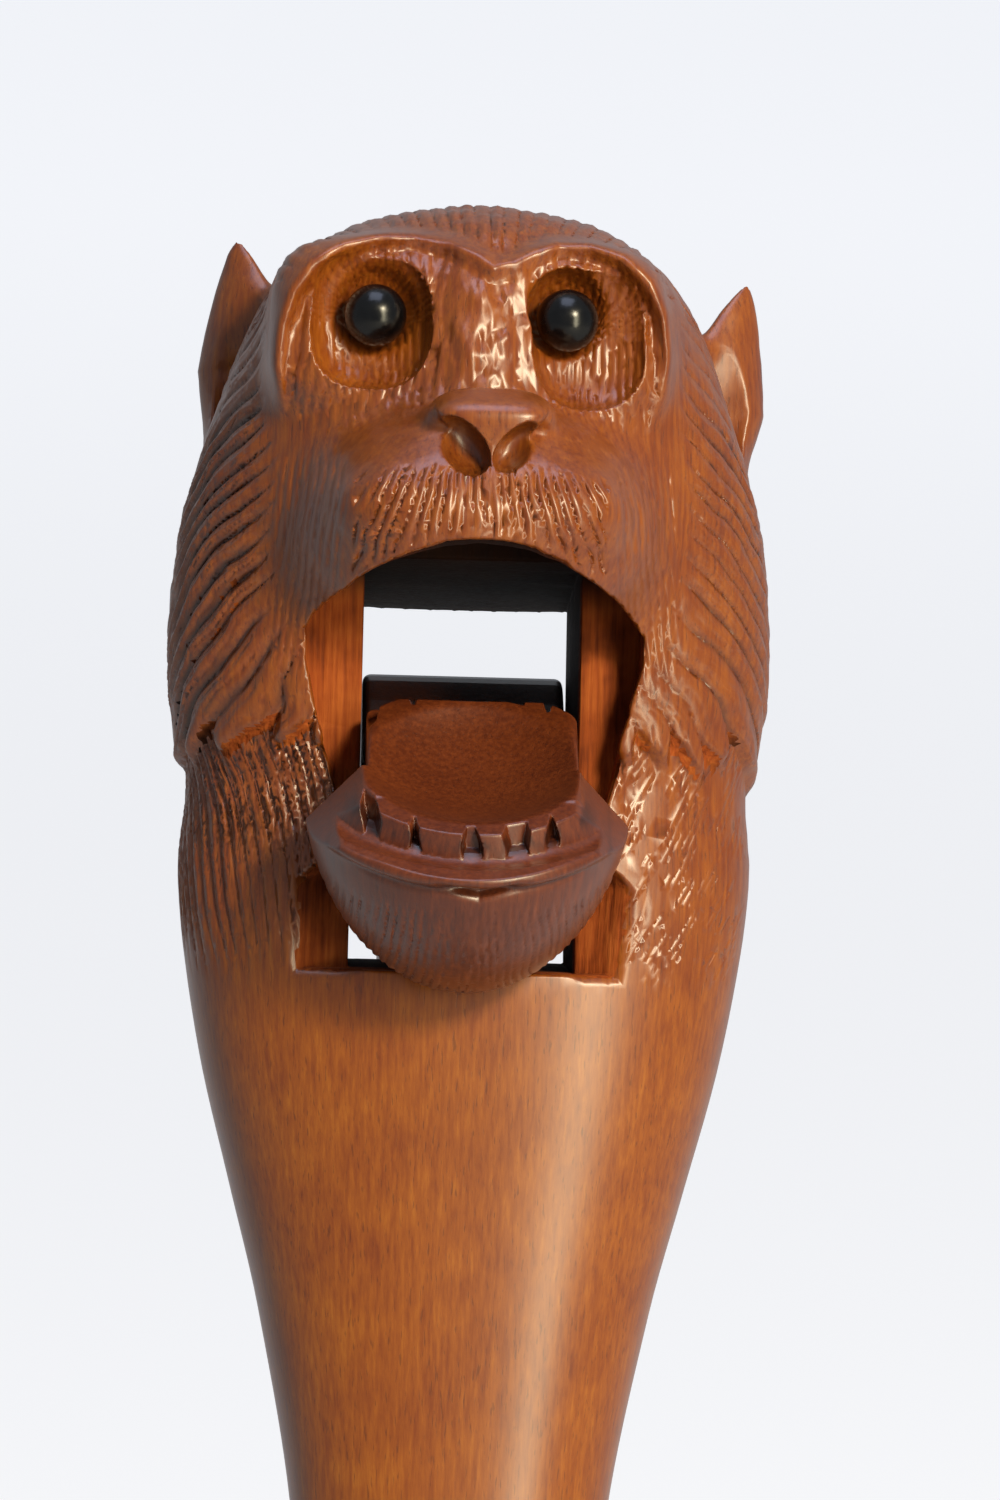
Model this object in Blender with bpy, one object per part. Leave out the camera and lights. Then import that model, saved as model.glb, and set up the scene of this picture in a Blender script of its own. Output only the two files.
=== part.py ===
"""A carved monkey-head nutcracker: two wooden levers on one steel pin, standing open on its two handles.

Metres, +Z up, the face looks along -Y, and the origin is the middle of the base.
The front lever (head and front handle) is modelled in the pivot frame: the origin is the hinge pin's axis,
+Z runs up the lever and +Y goes back through the head. The jaw lever is modelled in the jaw frame: the same
axis, -Y runs forward along the dish that holds the nut and +Z is square to that dish.
Run it with: blender --background --python part.py
"""
import math

import bmesh
import bpy
from mathutils import Matrix, Vector

MM = 0.001

# Front lever: overall sizes
HANDLE_DROP = 147 * MM          # hinge pin down to the middle of the front foot
HEAD_RISE = 51 * MM             # hinge pin up to the crown of the head
HEAD_WIDTH = 50 * MM            # across the cheek fur
HEAD_DEPTH = 41 * MM            # skull, front to back, without the muzzle
AXIS_AHEAD = 6 * MM             # the front lever's middle line lies this far in front of the pin
SECTION_POWER = 2.3             # 2 is an ellipse, more is squarer
LEVER_SIDES = 36
RING_STEP = 4.2 * MM            # height between the rings of the front lever

# Each row: height (share of the drop or rise), half width (share of half the head's width), then the
# distance to the front and to the back of the section (shares of half the head's depth)
LEVER_STATION_SHARES = [
    (-1.08, 0.420, 0.356, 0.356),
    (-1.00, 0.422, 0.358, 0.358),
    (-0.83, 0.424, 0.366, 0.361),
    (-0.66, 0.440, 0.385, 0.371),
    (-0.52, 0.468, 0.410, 0.385),
    (-0.388, 0.516, 0.444, 0.405),
    (-0.272, 0.644, 0.517, 0.449),
    (-0.204, 0.748, 0.566, 0.488),
    (-0.136, 0.852, 0.620, 0.546),
    (-0.068, 0.924, 0.654, 0.634),
    (-0.024, 0.948, 0.663, 0.741),
    (0.059, 0.952, 0.673, 0.859),
    (0.157, 0.968, 0.707, 0.937),
    (0.255, 1.000, 0.756, 0.995),
    (0.373, 0.992, 0.805, 1.034),
    (0.490, 0.964, 0.854, 1.054),
    (0.588, 0.912, 0.873, 1.044),
    (0.686, 0.848, 0.878, 1.005),
    (0.784, 0.776, 0.873, 0.927),
    (0.863, 0.692, 0.834, 0.810),
    (0.922, 0.588, 0.741, 0.663),
    (0.965, 0.456, 0.600, 0.498),
    (0.990, 0.292, 0.400, 0.322),
    (1.000, 0.112, 0.160, 0.127),
]

# Clearances
SEAT_GAP = 0.3 * MM             # between pieces that touch on the real object
CUT_OVERRUN = 30 * MM           # how far a cutter runs past the wood

# Mortise through the head, and the mouth in front of it, from the hinge pin's axis
MORTISE_WIDTH = 17.8 * MM
PALATE_RISE = 20.2 * MM         # at the back of the head
PALATE_TILT = math.radians(1.6) # it climbs towards the lips
SILL_BACK_DROP = 10.1 * MM
SILL_FRONT_DROP = 13.0 * MM
SILL_BACK_REACH = 8 * MM        # where the sill's back drop is measured, behind the pin
SILL_FRONT_REACH = 19.5 * MM    # where the sill's front drop is measured, ahead of the pin
MOUTH_WIDTH = 27.4 * MM
MOUTH_CORNER_RISE = 12.4 * MM
MOUTH_LIP_RISE = 20.6 * MM
CHEEK_GAP_WIDTH = 21.6 * MM     # the mouth's narrow part, between the cheeks
CHEEK_GAP_RISE = 1 * MM
SHOULDER_REACH = 15 * MM        # the flat shoulders beside the mortise, ahead of the pin
SLOT_OVERLAP = 0.6 * MM         # how far the mortise runs on into the mouth pocket
POCKET_FOOT_LEFT = 14.2 * MM    # the pocket's corners on the sill, from the middle
POCKET_FOOT_RIGHT = 10.0 * MM
MOUTH_ARC_STEPS = 10

# Face, measured from the crown down and from the lever's middle line forward
MASK_DROP = 21 * MM
MASK_REACH = 8 * MM
MASK_RADII = (16 * MM, 11.6 * MM, 19 * MM)
MUZZLE_DROP = 28.5 * MM
MUZZLE_REACH = 13 * MM
MUZZLE_RADII = (15 * MM, 15.3 * MM, 12 * MM)
LIP_PAD_DROP = 27.3 * MM
LIP_PAD_REACH = 22.2 * MM
LIP_PAD_SPREAD = 5.4 * MM
LIP_PAD_RADII = (6.4 * MM, 5.8 * MM, 4.6 * MM)
NOSE_DROP = 20.4 * MM
NOSE_REACH = 24.0 * MM
NOSE_RADII = (4.8 * MM, 3.5 * MM, 3.4 * MM)
BRIDGE_DROP = 13.5 * MM
BRIDGE_REACH = 14.5 * MM
BRIDGE_RADII = (4.8 * MM, 6.4 * MM, 9.2 * MM)
FOREHEAD_DROP = 8.0 * MM
FOREHEAD_REACH = 13.0 * MM
FOREHEAD_RADII = (8.2 * MM, 5.8 * MM, 3.4 * MM)
EYES_ASIDE = -0.9 * MM          # the carver set both eyes a little to one side of the nose
BROW_DROP = 11.8 * MM
BROW_REACH = 12.6 * MM
BROW_SPREAD = 8.65 * MM
BROW_RADII = (7.8 * MM, 6.6 * MM, 7.6 * MM)
BROW_POWER = 3.2                # 2 is an ellipsoid, more is flatter in front
BROW_DISH_DROP = 11.9 * MM
BROW_DISH_SPREAD = 9.4 * MM
BROW_DISH_RADII = (6.3 * MM, 6.8 * MM)
BROW_DISH_EDGE_REACH = 18.0 * MM
BROW_DISH_DEPTH = 1.4 * MM
SOCKET_DROP = 11.7 * MM
SOCKET_REACH = 18.3 * MM
SOCKET_SPREAD = 8.9 * MM
SOCKET_RADII = (5.0 * MM, 3.5 * MM, 5.8 * MM)
SOCKET_POWER = 2.2
EAR_DROPS = {"left": 12.7 * MM, "right": 15.1 * MM}
EAR_SETBACKS = {"left": 3.8 * MM, "right": 4.4 * MM}
EAR_SPREADS = {"left": 18.6 * MM, "right": 20.0 * MM}
EAR_LEAN_SHARES = {"left": 0.16, "right": 0.26}   # how far the tip stands outwards, against its height
EAR_RADII = (5.2 * MM, 2.2 * MM, 11.0 * MM)       # along the ear, through it, and up it
EAR_TURN = math.radians(32)     # the ear's plate against the side-to-side line
EAR_HOLLOW_SHARE = 0.76         # size of the hollow against the ear
EAR_HOLLOW_SHIFT = 1.6 * MM     # how far the hollow lies in front of the ear's plate
EAR_TIP_POWER = 0.72            # below 1 is rounder than a straight taper
LUMP_SIDES = 20
LUMP_RINGS = 12

# Glass eyes: a bead on a wire shank
BEAD_RADIUS = 2.55 * MM
BEAD_SPREAD = 7.8 * MM
BEAD_DROP = 11.0 * MM
BEAD_REACH = 16.9 * MM
SHANK_WIRE_RADIUS = 0.5 * MM
SHANK_WIRE_LENGTH = 7 * MM

# Hinge pin and its plugs
PIN_RADIUS = 1.6 * MM
PIN_GAP = 0.15 * MM             # between the pin and its bores
PLUG_LENGTH = 3.2 * MM
PIN_SIDES = 24

# Jaw lever, in the jaw frame
OPEN_PITCH = math.radians(38)   # the dish's slope against the head when the jaw is open
JAW_SIDE_GAP = 0.4 * MM         # each side of the jaw lever in the mortise
PALATE_GAP = 0.9 * MM           # between the dish's rim and the palate if the jaw were pressed home
DISH_BACK_REACH = 9.9 * MM      # back end of the dish's flat, ahead of the pin
SHANK_FRONT_REACH = 24.5 * MM   # the shank ends inside the chin
SHANK_FRONT_RISE = 8.0 * MM
SHANK_FOOT_REACH = 22 * MM      # front end of the shank's underside
SHANK_FOOT_RISE = 5.6 * MM
SHANK_WAIST_REACH = -2.7 * MM   # back end of that underside, above the sill
SHANK_WAIST_RISE = -4.6 * MM
DISH_CENTRE_REACH = 19 * MM
DISH_RIM_RADIUS = 8.9 * MM
DISH_DEPTH = 2.6 * MM
KNEE_REACH = 20.4 * MM          # back of the knee, behind the pin
KNEE_RISE = 5.9 * MM            # top of the knee
KNEE_RADIUS = 7.2 * MM
KNEE_THICKNESS = 13 * MM        # of the jaw lever where the handle leaves the knee
KNEE_DROP = 9.3 * MM
KNEE_CURVE_SHARE = 0.14         # the eased corner where the handle leaves the knee
KNEE_STEPS = 9
SADDLE_REACH = 1 * MM           # where the curve from the dish down to the knee bends most, ahead of the pin
SADDLE_RISE = 6.5 * MM
CHIN_CENTRE_REACH = 18 * MM
CHIN_CENTRE_DROP = 0.3 * MM     # the chin's widest level, below the dish's flat
CHIN_RADII = (13.6 * MM, 15.4 * MM, 18.6 * MM)
CHIN_ASIDE = -0.3 * MM          # the chin is a little to one side, as carved
LIP_STEP_RADIUS = 10.9 * MM     # the tooth face, from the dish's middle
LIP_STEP_DEPTH = 1.7 * MM       # the lower lip's top, below the dish's flat
WING_BACK_REACH = 19.6 * MM
WING_FALL_SHARE = 1.2           # how fast the top of the chin falls away to its side tips
CHIN_SIDES = 32
CHIN_RINGS = 20
REAR_HANDLE_WIDTH = 16 * MM
REAR_HANDLE_LENGTH = 140 * MM
REAR_HANDLE_RAKE = math.radians(4)
REAR_HANDLE_SIDES = 20
REAR_SECTION_POWER = 3.3
REAR_RING_STEP = 9 * MM

# Each row: distance down the rear handle (share of its length), half width (share of half the handle's
# width), half thickness (share of half the knee's thickness) and bow backwards (share of that thickness)
REAR_STATION_SHARES = [
    (-0.06, 0.84, 0.97, 0.00),
    (0.00, 0.82, 0.98, 0.00),
    (0.10, 0.80, 0.96, -0.04),
    (0.30, 0.82, 0.88, -0.12),
    (0.55, 0.86, 0.84, -0.10),
    (0.80, 0.93, 0.88, 0.04),
    (1.00, 0.98, 0.92, 0.16),
    (1.12, 0.98, 0.92, 0.26),
]


def clear_scene():
    for old in list(bpy.data.objects):
        bpy.data.objects.remove(old, do_unlink=True)


def make_material(name, colour, roughness, metallic):
    made = bpy.data.materials.new(name)
    made.use_nodes = True
    shader = made.node_tree.nodes["Principled BSDF"]
    shader.inputs["Base Color"].default_value = (*colour, 1)
    shader.inputs["Roughness"].default_value = roughness
    shader.inputs["Metallic"].default_value = metallic
    return made


def make_empty(name, parent=None):
    made = bpy.data.objects.new(name, None)
    bpy.context.scene.collection.objects.link(made)
    made.parent = parent
    return made


def object_from(shape, name, parent):
    """Turns a bmesh into a smooth-shaded object under its parent empty."""
    bmesh.ops.recalc_face_normals(shape, faces=shape.faces)
    mesh = bpy.data.meshes.new(name)
    shape.to_mesh(mesh)
    shape.free()
    mesh.shade_smooth()
    mesh.set_sharp_from_angle(angle=math.radians(35))
    made = bpy.data.objects.new(name, mesh)
    bpy.context.scene.collection.objects.link(made)
    made.parent = parent
    return made


def loft(name, rings, parent):
    """Skins closed rings of points, in order, and caps both ends."""
    shape = bmesh.new()
    rows = [[shape.verts.new(point) for point in ring] for ring in rings]
    count = len(rows[0])
    for low, high in zip(rows, rows[1:]):
        for side in range(count):
            after = (side + 1) % count
            shape.faces.new((low[side], low[after], high[after], high[side]))
    for end in (rows[0], rows[-1]):
        shape.faces.new(end)
    return object_from(shape, name, parent)


def ellipsoid(name, centre, radii, parent, sides=LUMP_SIDES, rings=LUMP_RINGS, power=2):
    """An ellipsoid whose poles lie along X. A power above 2 makes its sides flatter."""
    shape = bmesh.new()
    bmesh.ops.create_uvsphere(shape, u_segments=sides, v_segments=rings, radius=1)
    for vertex in shape.verts:
        size = sum(abs(part) ** power for part in vertex.co) ** (1 / power)
        vertex.co /= size
    place = (
        Matrix.Translation(centre)
        @ Matrix.Diagonal((*radii, 1))
        @ Matrix.Rotation(math.pi / 2, 4, "Y")
    )
    bmesh.ops.transform(shape, matrix=place, verts=shape.verts)
    return object_from(shape, name, parent)


def prism(name, outline, along, low, high, parent):
    """Extrudes an outline between two places along an axis, x or y. The outline's points are (y, z) or (x, z)."""
    def point(pair, place):
        return (place, *pair) if along == "x" else (pair[0], place, pair[1])

    rings = [[point(pair, place) for pair in outline] for place in (low, high)]
    return loft(name, rings, parent)


def rod(name, radius, low_x, high_x, parent, sides=PIN_SIDES):
    """A round rod along X through the frame's origin."""
    outline = [
        (radius * math.cos(math.tau * side / sides), radius * math.sin(math.tau * side / sides))
        for side in range(sides)
    ]
    return prism(name, outline, "x", low_x, high_x, parent)


def combine(target, other, operation):
    """Joins or cuts the target with a helper, which then stays out of the render."""
    step = target.modifiers.new(other.name, "BOOLEAN")
    step.operation = operation
    step.solver = "EXACT"
    step.object = other
    other.hide_render = True
    other.display_type = "WIRE"


def smooth_row(rows, value):
    """The row of a table at that value of its first column, on a curve through its rows."""
    index = next((i for i in range(1, len(rows) - 1) if value <= rows[i][0]), len(rows) - 1)
    before, after = rows[index - 1], rows[index]
    outer = (rows[max(index - 2, 0)], rows[min(index + 1, len(rows) - 1)])
    span = after[0] - before[0]
    share = (value - before[0]) / span
    made = []
    for column in range(1, len(before)):
        slope_in = (after[column] - outer[0][column]) / (after[0] - outer[0][0]) * span
        slope_out = (outer[1][column] - before[column]) / (outer[1][0] - before[0]) * span
        change = after[column] - before[column]
        made.append(
            before[column]
            + slope_in * share
            + (3 * change - 2 * slope_in - slope_out) * share**2
            + (slope_in + slope_out - 2 * change) * share**3
        )
    return made


def heights_between(rows, step):
    """Even steps within each gap of the table's first column, with every row kept."""
    made = [rows[0][0]]
    for low, high in zip(rows, rows[1:]):
        count = max(1, round((high[0] - low[0]) / step))
        made += [low[0] + (high[0] - low[0]) * k / count for k in range(1, count + 1)]
    return made


def rounded_section(half_width, front, back, sides, power=SECTION_POWER):
    """(x, y) points round a section that is wide, and as deep in front and behind as asked."""
    points = []
    for side in range(sides):
        turn = math.tau * side / sides
        across, along = math.cos(turn), math.sin(turn)
        x = math.copysign(abs(across) ** (2 / power), across) * half_width
        y = math.copysign(abs(along) ** (2 / power), along) * (back if along > 0 else front)
        points.append((x, y))
    return points


def lever_rows():
    """The front lever's stations as real sizes: height, half width, front and back."""
    rows = []
    for height, width, front, back in LEVER_STATION_SHARES:
        rise = height * (HANDLE_DROP if height < 0 else HEAD_RISE)
        rows.append((rise, width * HEAD_WIDTH / 2, front * HEAD_DEPTH / 2, back * HEAD_DEPTH / 2))
    return rows


def lever_half_width(y, z):
    """Half the front lever's width at a place in the pivot frame."""
    half_width, front, back = smooth_row(lever_rows(), z)
    ahead = y + AXIS_AHEAD
    depth = back if ahead > 0 else front
    return half_width * (1 - abs(ahead / depth) ** SECTION_POWER) ** (1 / SECTION_POWER)


def face_point(across, reach, drop):
    """A place on the head: across from the middle, forward of the lever's middle line, down from the crown."""
    return Vector((across, -AXIS_AHEAD - reach, HEAD_RISE - drop))


def bead_place(side):
    return face_point(side * BEAD_SPREAD + EYES_ASIDE, BEAD_REACH, BEAD_DROP)


def sill_height(y):
    """Height of the mortise's sloping sill at a place along its depth."""
    slope = (SILL_FRONT_DROP - SILL_BACK_DROP) / (SILL_FRONT_REACH + SILL_BACK_REACH)
    return -SILL_FRONT_DROP + (y + SILL_FRONT_REACH) * slope


def to_jaw(y, z):
    """A place in the pivot frame as (reach, rise) in the jaw frame, with the jaw open."""
    reach = -y * math.cos(OPEN_PITCH) - z * math.sin(OPEN_PITCH)
    rise = -y * math.sin(OPEN_PITCH) + z * math.cos(OPEN_PITCH)
    return reach, rise


def from_jaw(reach, rise):
    """(y, z) in the pivot frame of a place in the jaw frame, with the jaw open."""
    y = -reach * math.cos(OPEN_PITCH) - rise * math.sin(OPEN_PITCH)
    z = -reach * math.sin(OPEN_PITCH) + rise * math.cos(OPEN_PITCH)
    return y, z


def rear_handle_point(along):
    """(reach, rise) in the jaw frame of the rear handle's middle line, that far below the knee."""
    reach = -KNEE_REACH + KNEE_THICKNESS / 2 + math.sin(REAR_HANDLE_RAKE) * along
    rise = -KNEE_DROP - math.cos(REAR_HANDLE_RAKE) * along
    return reach, rise


def lever_rings():
    """(height, half width, front, back) of each ring of the front lever."""
    rows = lever_rows()
    return [(height, *smooth_row(rows, height)) for height in heights_between(rows, RING_STEP)]


def rear_handle_rings():
    """(reach, rise, half width, half thickness) in the jaw frame of each ring of the rear handle."""
    made = []
    for along in heights_between(REAR_STATION_SHARES, REAR_RING_STEP / REAR_HANDLE_LENGTH):
        width, thickness, bow = smooth_row(REAR_STATION_SHARES, along)
        reach, rise = rear_handle_point(along * REAR_HANDLE_LENGTH)
        half_width = width * REAR_HANDLE_WIDTH / 2
        made.append((reach - bow * KNEE_THICKNESS, rise, half_width, thickness * KNEE_THICKNESS / 2))
    return made


def ground_place(edge, lean, pivot_height):
    """How far behind the pin a lever's edge meets the ground; the edge is a list of (y, z), pivot frame."""
    placed = [
        (y * math.cos(lean) + z * math.sin(lean), z * math.cos(lean) - y * math.sin(lean) + pivot_height)
        for y, z in edge
    ]
    for (y, z), (next_y, next_z) in zip(placed, placed[1:]):
        if min(z, next_z) <= 0 <= max(z, next_z):
            return y + (next_y - y) * z / (z - next_z)


def cut_mortise(lever, frame):
    """The slot through the head, from the mouth pocket backwards."""
    front, back = -SHOULDER_REACH - SLOT_OVERLAP, HEAD_DEPTH / 2 + CUT_OVERRUN
    outline = [
        (front, sill_height(front)),
        (back, sill_height(back)),
        (back, PALATE_RISE),
        (HEAD_DEPTH / 2, PALATE_RISE),
        (front, PALATE_RISE + (HEAD_DEPTH / 2 - front) * math.tan(PALATE_TILT)),
    ]
    slot = prism("mortise_cutter", outline, "x", -MORTISE_WIDTH / 2, MORTISE_WIDTH / 2, frame)
    combine(lever, slot, "DIFFERENCE")


def cut_mouth(lever, frame):
    """The wide pocket in front of the mortise, under an arched upper lip."""
    half = MOUTH_WIDTH / 2
    arch = MOUTH_LIP_RISE - MOUTH_CORNER_RISE
    radius = (half**2 + arch**2) / (2 * arch)
    corner = math.asin(half / radius)
    sill = sill_height(-SHOULDER_REACH)
    outline = [(-POCKET_FOOT_LEFT, sill), (POCKET_FOOT_RIGHT, sill), (CHEEK_GAP_WIDTH / 2, CHEEK_GAP_RISE)]
    for step in range(MOUTH_ARC_STEPS + 1):
        turn = corner * (1 - 2 * step / MOUTH_ARC_STEPS)
        outline.append((radius * math.sin(turn), MOUTH_LIP_RISE - radius + radius * math.cos(turn)))
    outline.append((-CHEEK_GAP_WIDTH / 2, CHEEK_GAP_RISE))
    front = -HEAD_DEPTH - CUT_OVERRUN
    pocket = prism("mouth_cutter", outline, "y", front, -SHOULDER_REACH, frame)
    drop = sill - sill_height(front)
    for vertex in pocket.data.vertices:
        if vertex.co.y < -SHOULDER_REACH - SEAT_GAP and vertex.co.z < CHEEK_GAP_RISE - SEAT_GAP:
            vertex.co.z -= drop
    combine(lever, pocket, "DIFFERENCE")


def ear_leaf(name, side, ear, share, shift, frame):
    """An ear's solid: a plate, round below and drawn to a tip above, set at an angle to the head."""
    place = face_point(side * EAR_SPREADS[ear], -EAR_SETBACKS[ear], EAR_DROPS[ear])
    along_radius, thick_radius, height = [radius * share for radius in EAR_RADII]
    cos, sin = math.cos(EAR_TURN), math.sin(EAR_TURN)
    rings = []
    for ring in range(1, LUMP_RINGS):
        level = -math.cos(math.pi * ring / LUMP_RINGS)
        size = math.sqrt(1 - level**2) if level < 0 else (1 - level) ** EAR_TIP_POWER
        rise = height * level
        points = []
        for step in range(LUMP_SIDES):
            around = math.tau * step / LUMP_SIDES
            along = along_radius * size * math.cos(around) + EAR_LEAN_SHARES[ear] * rise
            thick = thick_radius * size * math.sin(around) - shift
            out, back = along * cos - thick * sin, along * sin + thick * cos
            points.append(place + Vector((side * out, back, rise)))
        rings.append(points)
    return loft(name, rings, frame)


def add_ears(lever, frame):
    for side, name in ((-1, "left"), (1, "right")):
        combine(lever, ear_leaf(f"{name}_ear_lump", side, name, 1, 0, frame), "UNION")
    for side, name in ((-1, "left"), (1, "right")):
        hollow = ear_leaf(f"{name}_ear_cutter", side, name, EAR_HOLLOW_SHARE, EAR_HOLLOW_SHIFT, frame)
        combine(lever, hollow, "DIFFERENCE")


def brow_dish(name, side, frame):
    """A shallow round cutter that leaves a thin raised rim round the eye."""
    middle = face_point(side * BROW_DISH_SPREAD + EYES_ASIDE, BROW_DISH_EDGE_REACH, BROW_DISH_DROP)
    shares = [(1, -CUT_OVERRUN), (1, 0), (0.66, BROW_DISH_DEPTH * 0.56), (0.33, BROW_DISH_DEPTH * 0.89)]
    rings = []
    for share, deep in shares:
        points = []
        for step in range(LUMP_SIDES):
            around = math.tau * step / LUMP_SIDES
            x, z = BROW_DISH_RADII[0] * share * math.cos(around), BROW_DISH_RADII[1] * share * math.sin(around)
            points.append(middle + Vector((x, deep, z)))
        rings.append(points)
    return loft(name, rings, frame)


def add_face(lever, frame):
    lumps = {
        "mask_lump": (face_point(0, MASK_REACH, MASK_DROP), MASK_RADII, 2),
        "muzzle_lump": (face_point(0, MUZZLE_REACH, MUZZLE_DROP), MUZZLE_RADII, 2),
        "bridge_lump": (face_point(0, BRIDGE_REACH, BRIDGE_DROP), BRIDGE_RADII, 2),
        "forehead_lump": (face_point(0, FOREHEAD_REACH, FOREHEAD_DROP), FOREHEAD_RADII, 2),
        "nose_lump": (face_point(0, NOSE_REACH, NOSE_DROP), NOSE_RADII, 2),
    }
    for side, name in ((-1, "left"), (1, "right")):
        pad_place = face_point(side * LIP_PAD_SPREAD, LIP_PAD_REACH, LIP_PAD_DROP)
        lumps[f"{name}_lip_lump"] = (pad_place, LIP_PAD_RADII, 2)
        brow_place = face_point(side * BROW_SPREAD + EYES_ASIDE, BROW_REACH, BROW_DROP)
        lumps[f"{name}_brow_lump"] = (brow_place, BROW_RADII, BROW_POWER)
    for name, (place, radii, power) in lumps.items():
        combine(lever, ellipsoid(name, place, radii, frame, power=power), "UNION")
    for side, name in ((-1, "left"), (1, "right")):
        combine(lever, brow_dish(f"{name}_dish_cutter", side, frame), "DIFFERENCE")
        socket_place = face_point(side * SOCKET_SPREAD + EYES_ASIDE, SOCKET_REACH, SOCKET_DROP)
        socket = ellipsoid(f"{name}_socket_cutter", socket_place, SOCKET_RADII, frame, power=SOCKET_POWER)
        combine(lever, socket, "DIFFERENCE")


def cut_eye_seats(lever, frame):
    """A round seat for each bead and a drilled hole for its wire shank."""
    seat = BEAD_RADIUS + SEAT_GAP
    for side, name in ((-1, "left"), (1, "right")):
        place = bead_place(side)
        ball = ellipsoid(f"{name}_bead_cutter", place, (seat, seat, seat), frame)
        combine(lever, ball, "DIFFERENCE")
        depth = BEAD_RADIUS + SHANK_WIRE_LENGTH + 2 * SEAT_GAP
        hole = wire(f"{name}_shank_cutter", place, SHANK_WIRE_RADIUS + SEAT_GAP, 0, depth, frame)
        combine(lever, hole, "DIFFERENCE")


def wire(name, place, radius, start, end, frame, sides=10):
    """A straight round wire that runs back from a place, between two distances."""
    outline = [
        (
            place.x + radius * math.cos(math.tau * side / sides),
            place.z + radius * math.sin(math.tau * side / sides),
        )
        for side in range(sides)
    ]
    return prism(name, outline, "y", place.y + start, place.y + end, frame)


def build_head_lever(frame, ground, wood):
    rings = []
    for height, half_width, front, back in lever_rings():
        section = rounded_section(half_width, front, back, LEVER_SIDES)
        rings.append([(x, y - AXIS_AHEAD, height) for x, y in section])
    lever = loft("head_lever", rings, frame)
    add_face(lever, frame)
    add_ears(lever, frame)
    cut_mouth(lever, frame)
    cut_mortise(lever, frame)
    cut_eye_seats(lever, frame)
    bore = rod("head_bore_cutter", PIN_RADIUS + PIN_GAP, -HEAD_WIDTH, HEAD_WIDTH, frame)
    combine(lever, bore, "DIFFERENCE")
    combine(lever, ground, "DIFFERENCE")
    lever.data.materials.append(wood)


def build_pin(frame, steel, plug_wood):
    """The steel pin, and the wooden plugs that close its bore and hold it in."""
    outer = lever_half_width(0, 0) - SEAT_GAP
    pin_end = outer - PLUG_LENGTH - SEAT_GAP
    pin = rod("hinge_pin", PIN_RADIUS, -pin_end, pin_end, frame)
    pin.data.materials.append(steel)
    for side, name in ((-1, "left"), (1, "right")):
        ends = sorted((side * (outer - PLUG_LENGTH), side * outer))
        plug = rod(f"{name}_pin_plug", PIN_RADIUS, *ends, frame)
        plug.data.materials.append(plug_wood)


def build_eyes(frame, glass, steel):
    for side, name in ((-1, "left"), (1, "right")):
        place = bead_place(side)
        bead = ellipsoid(f"{name}_eye_bead", place, (BEAD_RADIUS, BEAD_RADIUS, BEAD_RADIUS), frame)
        bead.data.materials.append(glass)
        start = BEAD_RADIUS + SEAT_GAP
        shank = wire(f"{name}_eye_shank", place, SHANK_WIRE_RADIUS, start, start + SHANK_WIRE_LENGTH - SEAT_GAP, frame)
        shank.data.materials.append(steel)


def jaw_outline(dish_rise):
    """Side view of the jaw lever's shank and knee, as (y, z) in the jaw frame."""
    knee_front = KNEE_REACH - KNEE_THICKNESS
    centre = (KNEE_REACH - KNEE_RADIUS, KNEE_RISE - KNEE_RADIUS)
    start, bend, end = (-DISH_BACK_REACH, dish_rise), (-SADDLE_REACH, SADDLE_RISE), (centre[0], KNEE_RISE)
    points = [(-SHANK_FRONT_REACH, dish_rise)]
    for step in range(KNEE_STEPS):
        share = step / KNEE_STEPS
        weights = ((1 - share) ** 2, 2 * share * (1 - share), share**2)
        points.append(tuple(sum(w * p[k] for w, p in zip(weights, (start, bend, end))) for k in (0, 1)))
    for step in range(KNEE_STEPS + 1):
        turn = math.pi / 2 * step / KNEE_STEPS
        points.append((centre[0] + KNEE_RADIUS * math.sin(turn), centre[1] + KNEE_RADIUS * math.cos(turn)))
    points += [
        (KNEE_REACH, -KNEE_DROP),
        (knee_front, -KNEE_DROP),
        (knee_front - KNEE_THICKNESS * KNEE_CURVE_SHARE, -KNEE_DROP + KNEE_THICKNESS * KNEE_CURVE_SHARE),
        (-SHANK_WAIST_REACH, SHANK_WAIST_RISE),
        (-SHANK_FOOT_REACH, SHANK_FOOT_RISE),
        (-SHANK_FRONT_REACH, SHANK_FRONT_RISE),
    ]
    return points


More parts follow.
